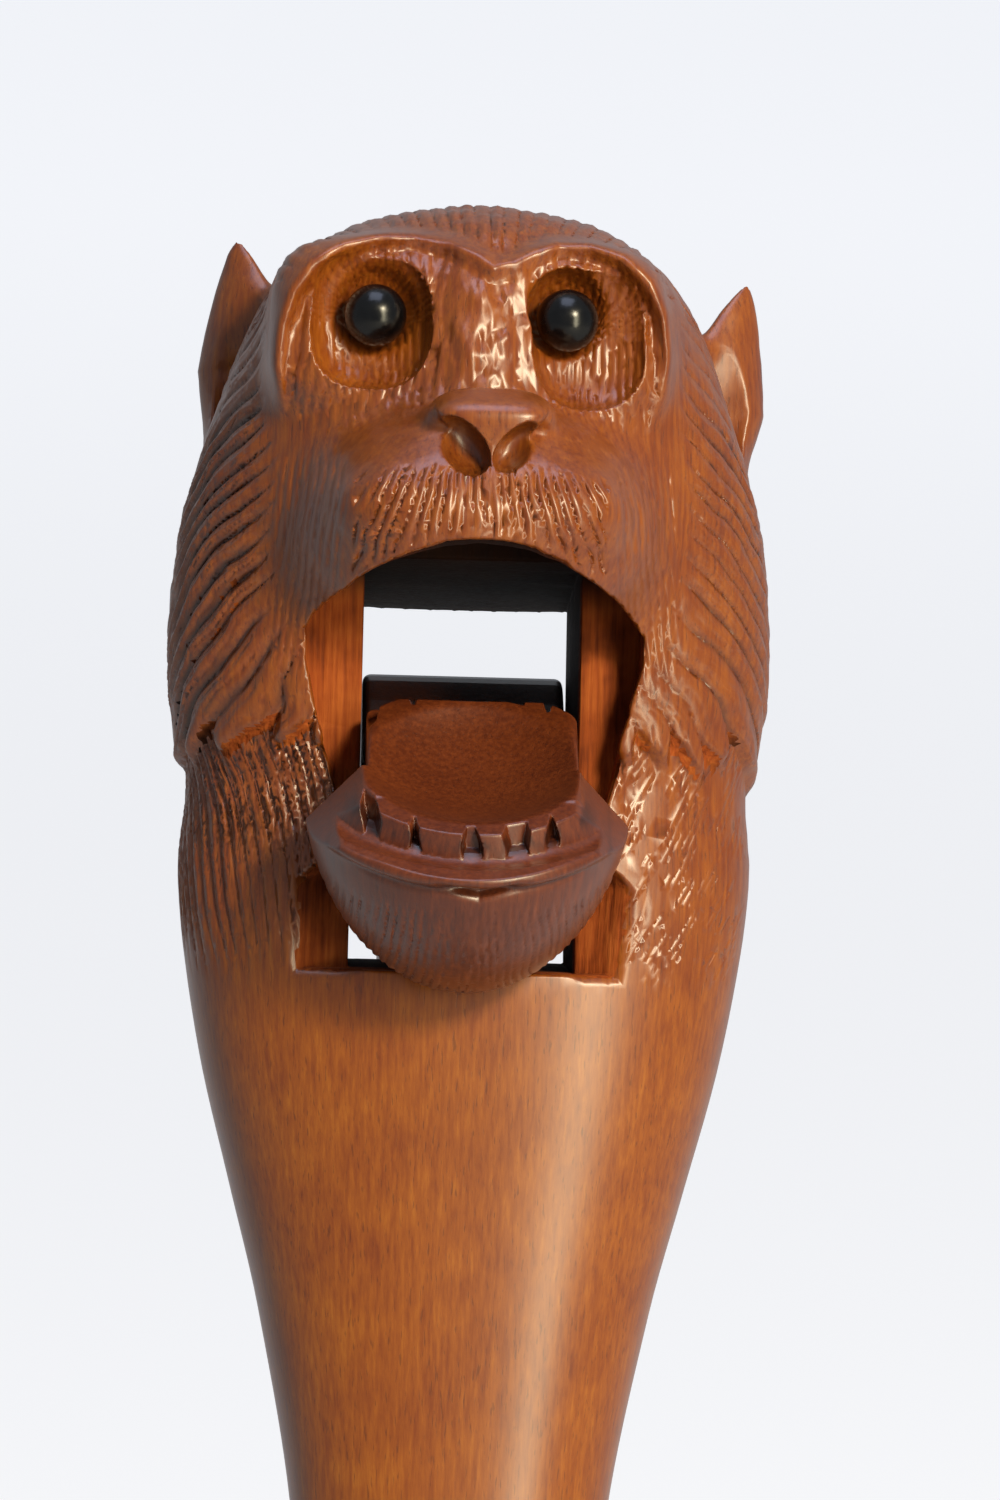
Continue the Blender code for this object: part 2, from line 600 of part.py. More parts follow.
def add_chin(lever, frame, dish_rise):
    """The chin: the lower front quarter of an egg, wider than the mortise, with tips that fall away."""
    sill_reach, sill_rise = to_jaw(-SILL_FRONT_REACH, -SILL_FRONT_DROP)
    centre = Vector((CHIN_ASIDE, -CHIN_CENTRE_REACH, dish_rise - CHIN_CENTRE_DROP))
    chin = ellipsoid("chin_lump", centre, CHIN_RADII, frame, CHIN_SIDES, CHIN_RINGS)
    far = CHIN_RADII[1] + CUT_OVERRUN
    above = [(-far, dish_rise), (far, dish_rise), (far, dish_rise + far), (-far, dish_rise + far)]
    combine(chin, prism("chin_top_cutter", above, "x", -far, far, frame), "DIFFERENCE")
    behind = [(-WING_BACK_REACH, -far), (far, -far), (far, far), (-WING_BACK_REACH, far)]
    combine(chin, prism("chin_back_cutter", behind, "x", -far, far, frame), "DIFFERENCE")
    floor = sill_rise + SEAT_GAP
    below = [(-far, floor - far), (far, floor - far), (far, floor), (-far, floor)]
    combine(chin, prism("chin_floor_cutter", below, "x", -far, far, frame), "DIFFERENCE")
    inner = MORTISE_WIDTH / 2 - JAW_SIDE_GAP
    for side, name in ((-1, "left"), (1, "right")):
        wing = [
            (side * inner, dish_rise),
            (side * (inner + far), dish_rise - WING_FALL_SHARE * far),
            (side * (inner + far), dish_rise + far),
            (side * inner, dish_rise + far),
        ]
        cutter = prism(f"{name}_wing_cutter", wing, "y", -far - CHIN_CENTRE_REACH, far, frame)
        combine(chin, cutter, "DIFFERENCE")
    combine(lever, chin, "UNION")


def cut_lip_step(lever, frame, dish_rise):
    """The wood cut away ahead of the teeth, which leaves the dish's rim standing over the lower lip."""
    front = -CHIN_CENTRE_REACH - CHIN_RADII[1] - CUT_OVERRUN
    far = CHIN_RADII[0] + CUT_OVERRUN
    outline = [(far, front), (-far, front), (-far, -DISH_CENTRE_REACH)]
    for step in range(CHIN_SIDES + 1):
        turn = math.pi * (1 + step / CHIN_SIDES)
        x = LIP_STEP_RADIUS * math.cos(turn)
        outline.append((x, -DISH_CENTRE_REACH + LIP_STEP_RADIUS * math.sin(turn)))
    outline.append((far, -DISH_CENTRE_REACH))
    low, high = dish_rise - LIP_STEP_DEPTH, dish_rise + CUT_OVERRUN
    rings = [[(x, y, height) for x, y in outline] for height in (low, high)]
    combine(lever, loft("lip_step_cutter", rings, frame), "DIFFERENCE")


def build_jaw_lever(frame, ground, wood):
    dish_rise = PALATE_RISE - PALATE_GAP
    half = MORTISE_WIDTH / 2 - JAW_SIDE_GAP
    lever = prism("jaw_lever", jaw_outline(dish_rise), "x", -half, half, frame)
    rings = []
    for reach, rise, half_width, deep in rear_handle_rings():
        section = rounded_section(half_width, deep, deep, REAR_HANDLE_SIDES, REAR_SECTION_POWER)
        rings.append([(x, y - reach, rise) for x, y in section])
    handle = loft("rear_handle_lump", rings, frame)
    combine(lever, handle, "UNION")
    add_chin(lever, frame, dish_rise)
    ball_radius = (DISH_RIM_RADIUS**2 + DISH_DEPTH**2) / (2 * DISH_DEPTH)
    ball_centre = Vector((0, -DISH_CENTRE_REACH, dish_rise - DISH_DEPTH + ball_radius))
    ball = ellipsoid("dish_cutter", ball_centre, [ball_radius] * 3, frame, CHIN_SIDES * 2, CHIN_SIDES)
    combine(lever, ball, "DIFFERENCE")
    cut_lip_step(lever, frame, dish_rise)
    bore = rod("jaw_bore_cutter", PIN_RADIUS + PIN_GAP, -HEAD_WIDTH, HEAD_WIDTH, frame)
    combine(lever, bore, "DIFFERENCE")
    combine(lever, ground, "DIFFERENCE")
    lever.data.materials.append(wood)


def main():
    clear_scene()
    wood = make_material("stained_wood", (0.30, 0.10, 0.03), 0.35, 0)
    plug_wood = make_material("plug_wood", (0.16, 0.06, 0.025), 0.5, 0)
    glass = make_material("black_glass", (0.008, 0.008, 0.010), 0.06, 0)
    steel = make_material("steel", (0.45, 0.44, 0.42), 0.35, 1)

    front_foot = (-AXIS_AHEAD, -HANDLE_DROP)
    rear_foot = from_jaw(*rear_handle_point(REAR_HANDLE_LENGTH))
    lean = math.atan2(rear_foot[1] - front_foot[1], rear_foot[0] - front_foot[0])
    pivot_height = front_foot[0] * math.sin(lean) - front_foot[1] * math.cos(lean)
    front_edge = [(-AXIS_AHEAD - front, height) for height, _, front, _ in lever_rings()]
    rear_edge = [from_jaw(reach - deep, rise) for reach, rise, _, deep in rear_handle_rings()]
    ends = [ground_place(edge, lean, pivot_height) for edge in (front_edge, rear_edge)]

    pivot = make_empty("pivot_frame")
    pivot.location = (0, -sum(ends) / 2, pivot_height)
    pivot.rotation_euler.x = -lean
    jaw_hinge = make_empty("jaw_frame", pivot)
    jaw_hinge.rotation_euler.x = OPEN_PITCH

    far = HANDLE_DROP + HEAD_RISE
    below = [(-far, -far), (far, -far), (far, 0), (-far, 0)]
    ground = prism("ground_cutter", below, "x", -far, far, None)

    build_head_lever(pivot, ground, wood)
    build_pin(pivot, steel, plug_wood)
    build_eyes(pivot, glass, steel)
    build_jaw_lever(jaw_hinge, ground, wood)


main()
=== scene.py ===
"""Looks of the carved monkey-head nutcracker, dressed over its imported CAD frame.

The two levers are carved as distance fields, the way a carver works: a turned blank, lumps of waste left for
the muzzle, brows and ears, cuts for the mouth and the mortise, and then strokes of the gouge that follow the
fur. Shapes are written in millimetres, in the frame of the piece: x across, y back, z up the lever, from the
hinge pin's axis.
"""
import math

import bmesh
import bpy
import numpy as np
import openvdb
from mathutils import Matrix, Vector


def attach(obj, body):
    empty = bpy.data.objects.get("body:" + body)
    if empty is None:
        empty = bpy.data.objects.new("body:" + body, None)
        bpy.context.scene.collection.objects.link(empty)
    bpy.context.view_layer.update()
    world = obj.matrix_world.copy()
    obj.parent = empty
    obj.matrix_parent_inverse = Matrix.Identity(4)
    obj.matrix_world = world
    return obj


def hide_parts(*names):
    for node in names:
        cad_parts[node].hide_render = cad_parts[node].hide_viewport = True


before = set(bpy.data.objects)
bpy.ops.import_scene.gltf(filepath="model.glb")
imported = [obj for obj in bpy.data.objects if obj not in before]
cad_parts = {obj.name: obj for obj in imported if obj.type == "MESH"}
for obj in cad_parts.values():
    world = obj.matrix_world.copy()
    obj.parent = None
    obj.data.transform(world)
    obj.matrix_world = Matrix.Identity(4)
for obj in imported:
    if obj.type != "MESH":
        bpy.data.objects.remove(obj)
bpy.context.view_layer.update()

MM = 0.001
LEAN = math.radians(17.6699)  # the front lever leans back by this much
PIVOT = (0.0, -3.1075, 138.2435)  # the hinge pin's middle, in mm
OPEN_PITCH = math.radians(38)
AXIS_AHEAD = 6.0  # the front lever's middle line lies this far ahead of the pin
CROWN = 51.0
HEAD_CUT = -20.0  # below this height the front lever is a plain turned handle
JAW_CUT = -24.0  # and below this one the rear lever is
VOXEL = 0.22
SLOT_HALF = 8.9  # half width of the mortise
SLOT_FRONT = -15.6  # the mortise starts this far ahead of the pin, behind the lips
PIN_HOLE = 1.75  # radius of the hole that the pin runs in
LIP_HALF, LIP_RISE, LIP_TOP = 13.7, 8.2, 20.6  # the upper lip's arch: half width, rise and height
HEAD_TRIANGLES = 150000
JAW_TRIANGLES = 60000

HEAD_PLACE = Matrix.Scale(MM, 4) @ Matrix.Translation(PIVOT) @ Matrix.Rotation(-LEAN, 4, "X")
JAW_PLACE = HEAD_PLACE @ Matrix.Rotation(OPEN_PITCH, 4, "X")

# Height, half width, depth in front and depth behind, as shares of 147 or 51, 25, 20.5 and 20.5 mm
FRONT_LEVER = [
    (-1.08, 0.420, 0.356, 0.356), (-1.00, 0.422, 0.358, 0.358), (-0.83, 0.424, 0.366, 0.361),
    (-0.66, 0.440, 0.385, 0.371), (-0.52, 0.468, 0.410, 0.385), (-0.388, 0.516, 0.444, 0.405),
    (-0.272, 0.644, 0.517, 0.449), (-0.204, 0.748, 0.566, 0.488), (-0.136, 0.852, 0.620, 0.546),
    (-0.068, 0.924, 0.654, 0.634), (-0.024, 0.948, 0.663, 0.741), (0.059, 0.952, 0.673, 0.859),
    (0.157, 0.968, 0.707, 0.937), (0.255, 1.000, 0.756, 0.995), (0.373, 0.992, 0.805, 1.034),
    (0.490, 0.964, 0.854, 1.054), (0.588, 0.912, 0.873, 1.044), (0.686, 0.848, 0.878, 1.005),
    (0.784, 0.776, 0.873, 0.927), (0.863, 0.692, 0.834, 0.810), (0.922, 0.588, 0.741, 0.663),
    (0.965, 0.456, 0.600, 0.498), (0.990, 0.292, 0.400, 0.322), (1.000, 0.112, 0.160, 0.127),
]
# Distance down the rear handle, half width, half thickness and bow, as shares of 140, 8, 6.5 and 13 mm
REAR_HANDLE = [
    (-0.06, 0.84, 0.97, 0.00), (0.00, 0.82, 0.98, 0.00), (0.10, 0.80, 0.96, -0.04), (0.30, 0.82, 0.88, -0.12),
    (0.55, 0.86, 0.84, -0.10), (0.80, 0.93, 0.88, 0.04), (1.00, 0.98, 0.92, 0.16), (1.12, 0.98, 0.92, 0.26),
]
LATTICE = np.random.RandomState(11).rand(32, 32, 32) * 2 - 1


# ---- small tools for fields


def ease(low, high, value):
    """0 at low, 1 at high, with a soft start and end."""
    share = np.clip((value - low) / (high - low), 0, 1)
    return share * share * (3 - 2 * share)


def wander(x, y, z, size):
    """Smooth noise from -1 to 1 with cells of that size."""
    spots = [np.asarray(v, dtype=np.float32) / size for v in (x, y, z)]
    spots = np.broadcast_arrays(*spots)
    cells = [np.floor(v).astype(np.int32) for v in spots]
    shares = [(v - c) ** 2 * (3 - 2 * (v - c)) for v, c in zip(spots, cells)]
    total = 0
    for corner in range(8):
        steps = [(corner >> k) & 1 for k in range(3)]
        weight = 1
        for share, step in zip(shares, steps):
            weight = weight * (share if step else 1 - share)
        total = total + weight * LATTICE[tuple((c + s) % 32 for c, s in zip(cells, steps))]
    return total


def join(a, b, soft):
    """Union of two distances, with a fillet."""
    share = np.clip(0.5 + 0.5 * (b - a) / soft, 0, 1)
    return b + (a - b) * share - soft * share * (1 - share)


def cut(a, b, soft):
    """The first distance without the second, with a rounded edge."""
    return -join(-a, b, soft)


def keep_both(a, b, soft):
    """What two distances have in common, with a rounded edge."""
    return -join(-a, -b, soft)


def egg(x, y, z, centre, radii, power=2.0):
    """Distance to a ball with three radii; a higher power makes it squarer."""
    u, v, w = (np.abs(p - c) / r for p, c, r in zip((x, y, z), centre, radii))
    size = (u**power + v**power + w**power) ** (1 / power) + 1e-4
    steep = sum(((k / size) ** (power - 1) / r) ** 2 for k, r in zip((u, v, w), radii))
    return (size - 1) / np.sqrt(steep)


def turned(a, b, centre, degrees):
    """Coordinates about a centre, turned in their plane."""
    cos, sin = math.cos(math.radians(degrees)), math.sin(math.radians(degrees))
    a, b = a - centre[0], b - centre[1]
    return a * cos + b * sin, b * cos - a * sin


def leaf(along, thick, z, radii):
    """An ear: round below and drawn to a tip above."""
    rise = z / radii[2]
    size = np.where(rise < 0, np.clip(1 - rise**4, 1e-4, 1) ** 0.25, np.clip(1 - rise, 1e-3, 1) ** 0.72)
    u, v = np.abs(along) / (radii[0] * size), np.abs(thick) / (radii[1] * size)
    s = np.hypot(u, v) + 1e-3
    steep = np.hypot(u / s / (radii[0] * size), v / s / (radii[1] * size))
    return np.maximum((s - 1) / steep, np.abs(z) - radii[2])


def outline_distance(a, b, points):
    """Distance to a closed outline, negative inside."""
    best = np.full(np.shape(a), 1e9)
    inside = np.zeros(np.shape(a), dtype=bool)
    for (p, q), (r, s) in zip(points, points[1:] + points[:1]):
        share = np.clip(((a - p) * (r - p) + (b - q) * (s - q)) / ((r - p) ** 2 + (s - q) ** 2), 0, 1)
        best = np.minimum(best, (a - p - share * (r - p)) ** 2 + (b - q - share * (s - q)) ** 2)
        if s != q:
            inside ^= ((q > b) != (s > b)) & (a < (r - p) * (b - q) / (s - q) + p)
    return np.where(inside, -1, 1) * np.sqrt(best)


def smooth_row(rows, value):
    """The row of a table at that value of its first column, on a curve through its rows."""
    index = next((i for i in range(1, len(rows) - 1) if value <= rows[i][0]), len(rows) - 1)
    before, after = rows[index - 1], rows[index]
    outer = (rows[max(index - 2, 0)], rows[min(index + 1, len(rows) - 1)])
    span = after[0] - before[0]
    share = (value - before[0]) / span
    made = []
    for column in range(1, len(before)):
        slope_in = (after[column] - outer[0][column]) / (after[0] - outer[0][0]) * span
        slope_out = (outer[1][column] - before[column]) / (outer[1][0] - before[0]) * span
        change = after[column] - before[column]
        made.append(
            before[column] + slope_in * share + (3 * change - 2 * slope_in - slope_out) * share**2
            + (slope_in + slope_out - 2 * change) * share**3
        )
    return made


class Loft:
    """A blank with oval sections: tables of half width, depth in front, depth behind and middle, by height."""

    def __init__(self, rows, low, high, power):
        self.power = power
        self.heights = np.arange(low, high, 0.25)
        self.table = np.array([smooth_row(rows, h) for h in self.heights])
        self.slopes = np.gradient(self.table, 0.25, axis=0)

    def at(self, z):
        return [np.interp(z, self.heights, self.table[:, k]) for k in range(4)]

    def distance(self, x, y, z):
        wide, front, back, middle = self.at(z)
        grow = [np.interp(z, self.heights, self.slopes[:, k]) for k in range(3)]
        behind = y > middle
        deep, deepen = np.where(behind, back, front), np.where(behind, grow[2], grow[1])
        u, v = np.abs(x) / wide, np.abs(y - middle) / deep
        size = (u**self.power + v**self.power) ** (1 / self.power) + 1e-4
        u, v = u / size, v / size
        across = u ** (self.power - 1) / wide
        along = v ** (self.power - 1) / deep
        rise = size * (u**self.power * grow[0] / wide + v**self.power * deepen / deep)
        return (size - 1) / np.sqrt(across**2 + along**2 + rise**2)

    def ring(self, z, sides):
        """Points round the section at each of the heights in z, one for each side."""
        wide, front, back, middle = self.at(z)
        turn = np.arange(sides) * math.tau / sides
        cos, sin = np.cos(turn), np.sin(turn)
        x = np.sign(cos) * np.abs(cos) ** (2 / self.power) * wide
        y = np.sign(sin) * np.abs(sin) ** (2 / self.power) * np.where(sin > 0, back, front) + middle
        return np.stack([x, y, z + 0 * x], axis=1)


class Plan:
    """A table of values over a plane, read between its points."""

    def __init__(self, function, low, high, step=0.15):
        self.low, self.step = low, step
        axes = [np.arange(a, b + step, step) for a, b in zip(low, high)]
        self.table = function(*np.meshgrid(*axes, indexing="ij"))

    def __call__(self, a, b):
        spots = [np.clip((v - low) / self.step, 0, n - 1.001) for v, low, n in zip((a, b), self.low, self.table.shape)]
        (i, p), (j, q) = [(v.astype(int), v - v.astype(int)) for v in spots]
        near, far = self.table[i, j] * (1 - q) + self.table[i, j + 1] * q, self.table[i + 1, j] * (1 - q)
        return near * (1 - p) + (far + self.table[i + 1, j + 1] * q) * p


FRONT_BLANK = Loft(
    [(h * (147 if h < 0 else CROWN), w * 25, f * 20.5, b * 20.5, -AXIS_AHEAD) for h, w, f, b in FRONT_LEVER],
    -158, CROWN + 0.1, 2.3,
)
RAKE = math.radians(4)
REAR_BLANK = Loft(
    [
        (
            -9.3 - math.cos(RAKE) * 140 * along, wide * 8.0, thick * 6.5, thick * 6.5,
            20.4 - 6.5 - math.sin(RAKE) * 140 * along + bow * 13,
        )
        for along, wide, thick, bow in reversed(REAR_HANDLE)
    ],
    -165, -1.2, 3.3,
)


# ---- the head


EYES_ASIDE = -0.9
BEADS = {"left": (-7.8 + EYES_ASIDE, -22.9, 40.0), "right": (7.8 + EYES_ASIDE, -22.9, 40.0)}
BEAD_RADIUS = 2.55


def sill(y):
    """Height of the floor of the mouth and the mortise."""
    return -13.0 + (y + 19.5) * 2.9 / 27.5


def mortise(x, y, z):
    """The slot through the head that the jaw lever swings in. It starts behind the lips."""
    palate = 20.2 + (20.5 - y) * math.tan(math.radians(1.6))
    half = np.where(x < 0, SLOT_HALF + 0.6 * ease(-6.0, -7.5, z), SLOT_HALF)
    walls = np.maximum(np.abs(x) - half, np.maximum(z - palate, sill(y) - z))
    return np.maximum(walls, SLOT_FRONT - y)


def mouth(x, y, z):
    """The wide pocket ahead of the mortise, under an arched lip. Its edge was cut by hand, so it wanders a little."""
    wave = wander(x + 40, y / 3, z, 3.2) * 0.2 + wander(x, y / 3, z + 9, 1.3) * 0.08
    left_half = np.interp(z, [-12.5, -8.5, 1.0, 12.4], [11.4, 11.0, 10.6, LIP_HALF])
    half = np.where(x < 0, left_half, np.interp(z, [-12.5, 1.0, 12.4], [9.3, 11.0, LIP_HALF]))
    half = half + 1.1 * np.clip(-15 - y, 0, 4) * ease(-3, -6, z)
    radius = (LIP_HALF**2 + LIP_RISE**2) / (2 * LIP_RISE)
    roof = z - LIP_TOP - 0.2 * np.clip(y + 31, 0, 20)
    arch = np.hypot(x, np.maximum(roof + radius, 0)) - radius
    walls = np.maximum((np.abs(x) - half) * 0.97, arch) + wave
    hollow = keep_both(walls, y + 15, 0.05 + 2.0 * ease(-3, -7, z))
    return np.maximum(hollow, sill(y) - z)


# the raised rounds' middles, across and up
GOGGLES = ((-9.6, 39.3), (7.7, 39.0))
SOCKETS = ((-9.1, 39.5, 5.0, 5.75), (8.9, 38.5, 4.8, 6.0))  # middle across and up, half width, half height
# the crest over the eyes as (x, z), closed below by a plain line
CREST = [
    (-15.1, 29.7), (-16.3, 32.2), (-16.7, 35.7), (-16.4, 38.9), (-15.5, 41.7), (-13.8, 44.0), (-11.4, 45.6),
    (-8.7, 46.5), (-5.6, 46.7), (-2.8, 46.0), (-0.6, 44.8), (0.8, 43.9), (2.4, 44.2), (4.0, 45.3), (6.0, 46.2),
    (8.7, 46.2), (11.3, 45.2), (13.5, 43.2), (14.9, 40.5), (15.3, 37.3), (15.1, 34.1), (14.0, 30.3),
    (9.0, 26.0), (0.0, 24.0), (-9.0, 26.0),
]
CREST_PLAN = Plan(lambda x, z: outline_distance(x, z, CREST), (-24, 18), (24, 52))


def goggles(x, y, z):
    """The two raised rounds of the brow that frame the eyes."""
    return np.minimum(*(egg(x, y, z, (across, -18.6, up), (7.7, 6.6, 7.5), 3.2) for across, up in GOGGLES))


def brow_line(shape, x, y, z):
    """The thin crest that runs over both eyes and dips between them, and the flat cut back below it."""
    inside = -CREST_PLAN(x, z)
    front = ease(-14.5, -17.5, y) * ease(30, 35, z)
    crest = 0.45 * np.exp(-((inside + 0.1) / 0.6) ** 2)
    above = 0.35 * np.exp(-((inside + 1.7) / 0.9) ** 2) * ease(9, 3, np.abs(x - 0.8))
    back = 1.35 * ease(0.25, 1.5, inside) * (1 - 0.55 * ease(41, 34, z)) * (1 - 0.4 * ease(5, 2, np.abs(x - 0.8)))
    back = back + 0.17 * wander(x, y, z, 1.5) * ease(0.8, 1.8, inside)
    bridge = ease(5.6, 4.2, np.abs(x - 0.4)) * ease(31, 34, z) * ease(45.5, 43, z)
    back = back + 0.34 * wander(x + 20, y, z * 0.6, 1.0) * bridge
    return shape + front * (back + above - crest)


def eye_hollows(shape, x, y, z):
    """Two steep sockets, each with a deeper bed round its bead."""
    for across, up, half, tall in SOCKETS:
        shape = cut(shape, egg(x, y, z, (across, -25.0, up), (half, 3.4, tall), 2.6), 0.12)
    for bead in BEADS.values():
        shape = cut(shape, egg(x, y, z, (bead[0], bead[1] - 0.2, bead[2] + 0.5), (3.5, 3.2, 3.7)), 0.5)
    return shape


def face(x, y, z):
    """The waste left for the face: its flat, the muzzle with its two pads, the bridge and the brow."""
    shape = egg(x, y, z, (0, -14, 30), (16, 11.6, 19))
    shape = join(shape, egg(x, y, z, (0, -19, 22.5), (15, 15.3, 12)), 2.5)
    for side in (-1, 1):
        shape = join(shape, egg(x, y, z, (side * 5.4, -28.2, 23.4), (6.4, 5.8, 4.6)), 1.6)
    brow = egg(x, y, z, (-0.6, -19.0, 43.0), (8.0, 5.6, 3.0))
    shape = join(shape, egg(x, y, z, (-0.4, -20.5, 37.5), (4.6, 6.2, 9)), 3.0)
    return brow_line(join(shape, join(goggles(x, y, z), brow, 1.5), 1.3), x, y, z)


NOSE = (0.7, -30.3, 30.1)  # middle of the wedge
NOSE_TURN = 26  # and its tilt


def nose(x, y, z):
    """A wedge whose flat front looks forward and down, wide above and narrow below."""
    a, b = turned(y, z, NOSE[1:], NOSE_TURN)
    shape = egg(x - NOSE[0], a, b, (0, 0, 0), (3.2 + 0.9 * np.clip(b, -2.3, 1.8), 3.2, 2.8), 3.4)
    wings = np.minimum(*(egg(x, y, z, (NOSE[0] + side * 4.0, -28.7, 31.0), (1.4, 2.7, 1.4)) for side in (-1, 1)))
    return join(shape, wings, 0.6)


def nostrils(x, y, z):
    """Two slanting hollows in the wedge's front; the left one is larger."""
    a, b = turned(y, z, NOSE[1:], NOSE_TURN)
    cuts = []
    for side, aside, radii in ((-1, 2.3, (2.8, 2.7, 1.65)), (1, 2.0, (2.5, 2.3, 1.3))):
        along, across = turned(side * (x - NOSE[0]), b, (aside, -0.55), 48)
        cuts.append(egg(along, a, across, (0, -3.3, 0), radii))
    return np.minimum(*cuts)


def ears(x, y, z, share=1.0, shift=0.0, turn=32):
    """Two pointed leaves set at an angle, whose outer edges stand nearly upright."""
    made = []
    for side, centre, lean in ((-1, (-18.6, -2.2, 38.3), 0.16), (1, (20.0, -1.6, 35.9), 0.31)):
        along, thick = turned(x * side, y, (abs(centre[0]), centre[1]), turn)
        rise = z - centre[2]
        made.append(leaf(along - lean * rise, thick + shift, rise + 0.4 * (1 - share), [
            5.2 * share, 2.2 * share, 11.0 * share]))
    return np.minimum(*made)


def head_outside(x, y, z):
    """The carved outside of the front lever before its cuts and its strokes."""
    shape = FRONT_BLANK.distance(x, y, z)
    shape = keep_both(shape, z - CROWN - 0.2, 1.2)
    shape = join(shape, face(x, y, z), 3.0)
    shape = join(shape, ears(x, y, z), 2.0)
    shape = cut(shape, ears(x, y, z, 0.78, 1.8, 9), 0.25)
    shape = shape + (0.06 * wander(x + 9, y, z, 1.3) + 0.07 * wander(x, y, z + 5, 3.1)) * ease(-6, 2, z)
    shape = eye_hollows(shape, x, y, z)
    shape = join(shape, nose(x, y, z), 0.9)
    return cut(shape, nostrils(x, y, z), 0.18)


def head_distance(x, y, z):
    shape = head_outside(x, y, z)
    shape = cut(shape, mouth(x, y, z), 0.35 + 0.8 * ease(-4, -8, z) * ease(8, 10, np.abs(x)))
    shape = cut(shape, mortise(x, y, z), 0.35)
    shape = np.maximum(shape, PIN_HOLE - np.hypot(y, z))
    for bead in BEADS.values():
        seat = egg(x, y, z, bead, [BEAD_RADIUS + 0.25] * 3)
        hole = np.maximum(np.hypot(x - bead[0], z - bead[2]) - 0.8, np.abs(y - bead[1] - 5) - 5.2)
        shape = np.maximum(shape, -np.minimum(seat, hole))
    return np.maximum(shape, HEAD_CUT - 2 - z)


def hair_lanes(out, z):
    """Counts the cheek's locks. They leave the edge of the face slanting, and the lower ones hang."""
    rows = np.arange(-30, 90, 0.25)
    slant = np.radians(np.interp(rows, [0, 5, 10, 16, 23, 36, 46], [84, 78, 66, 48, 33, 28, 16]))
    counts = np.cumsum(np.cos(slant) * 0.25 / 1.6)
    run = np.maximum(out - 13, 0)
    low, high = z + 0, z + 90
    for _ in range(16):
        middle = (low + high) / 2
        fallen = middle - np.tan(np.interp(middle, rows, slant)) * run - 0.006 * run**2
        low, high = np.where(fallen < z, middle, low), np.where(fallen < z, high, middle)
    return np.interp(low, rows, counts)


HAIR = Plan(hair_lanes, (0, -20), (72, 54), 0.3)


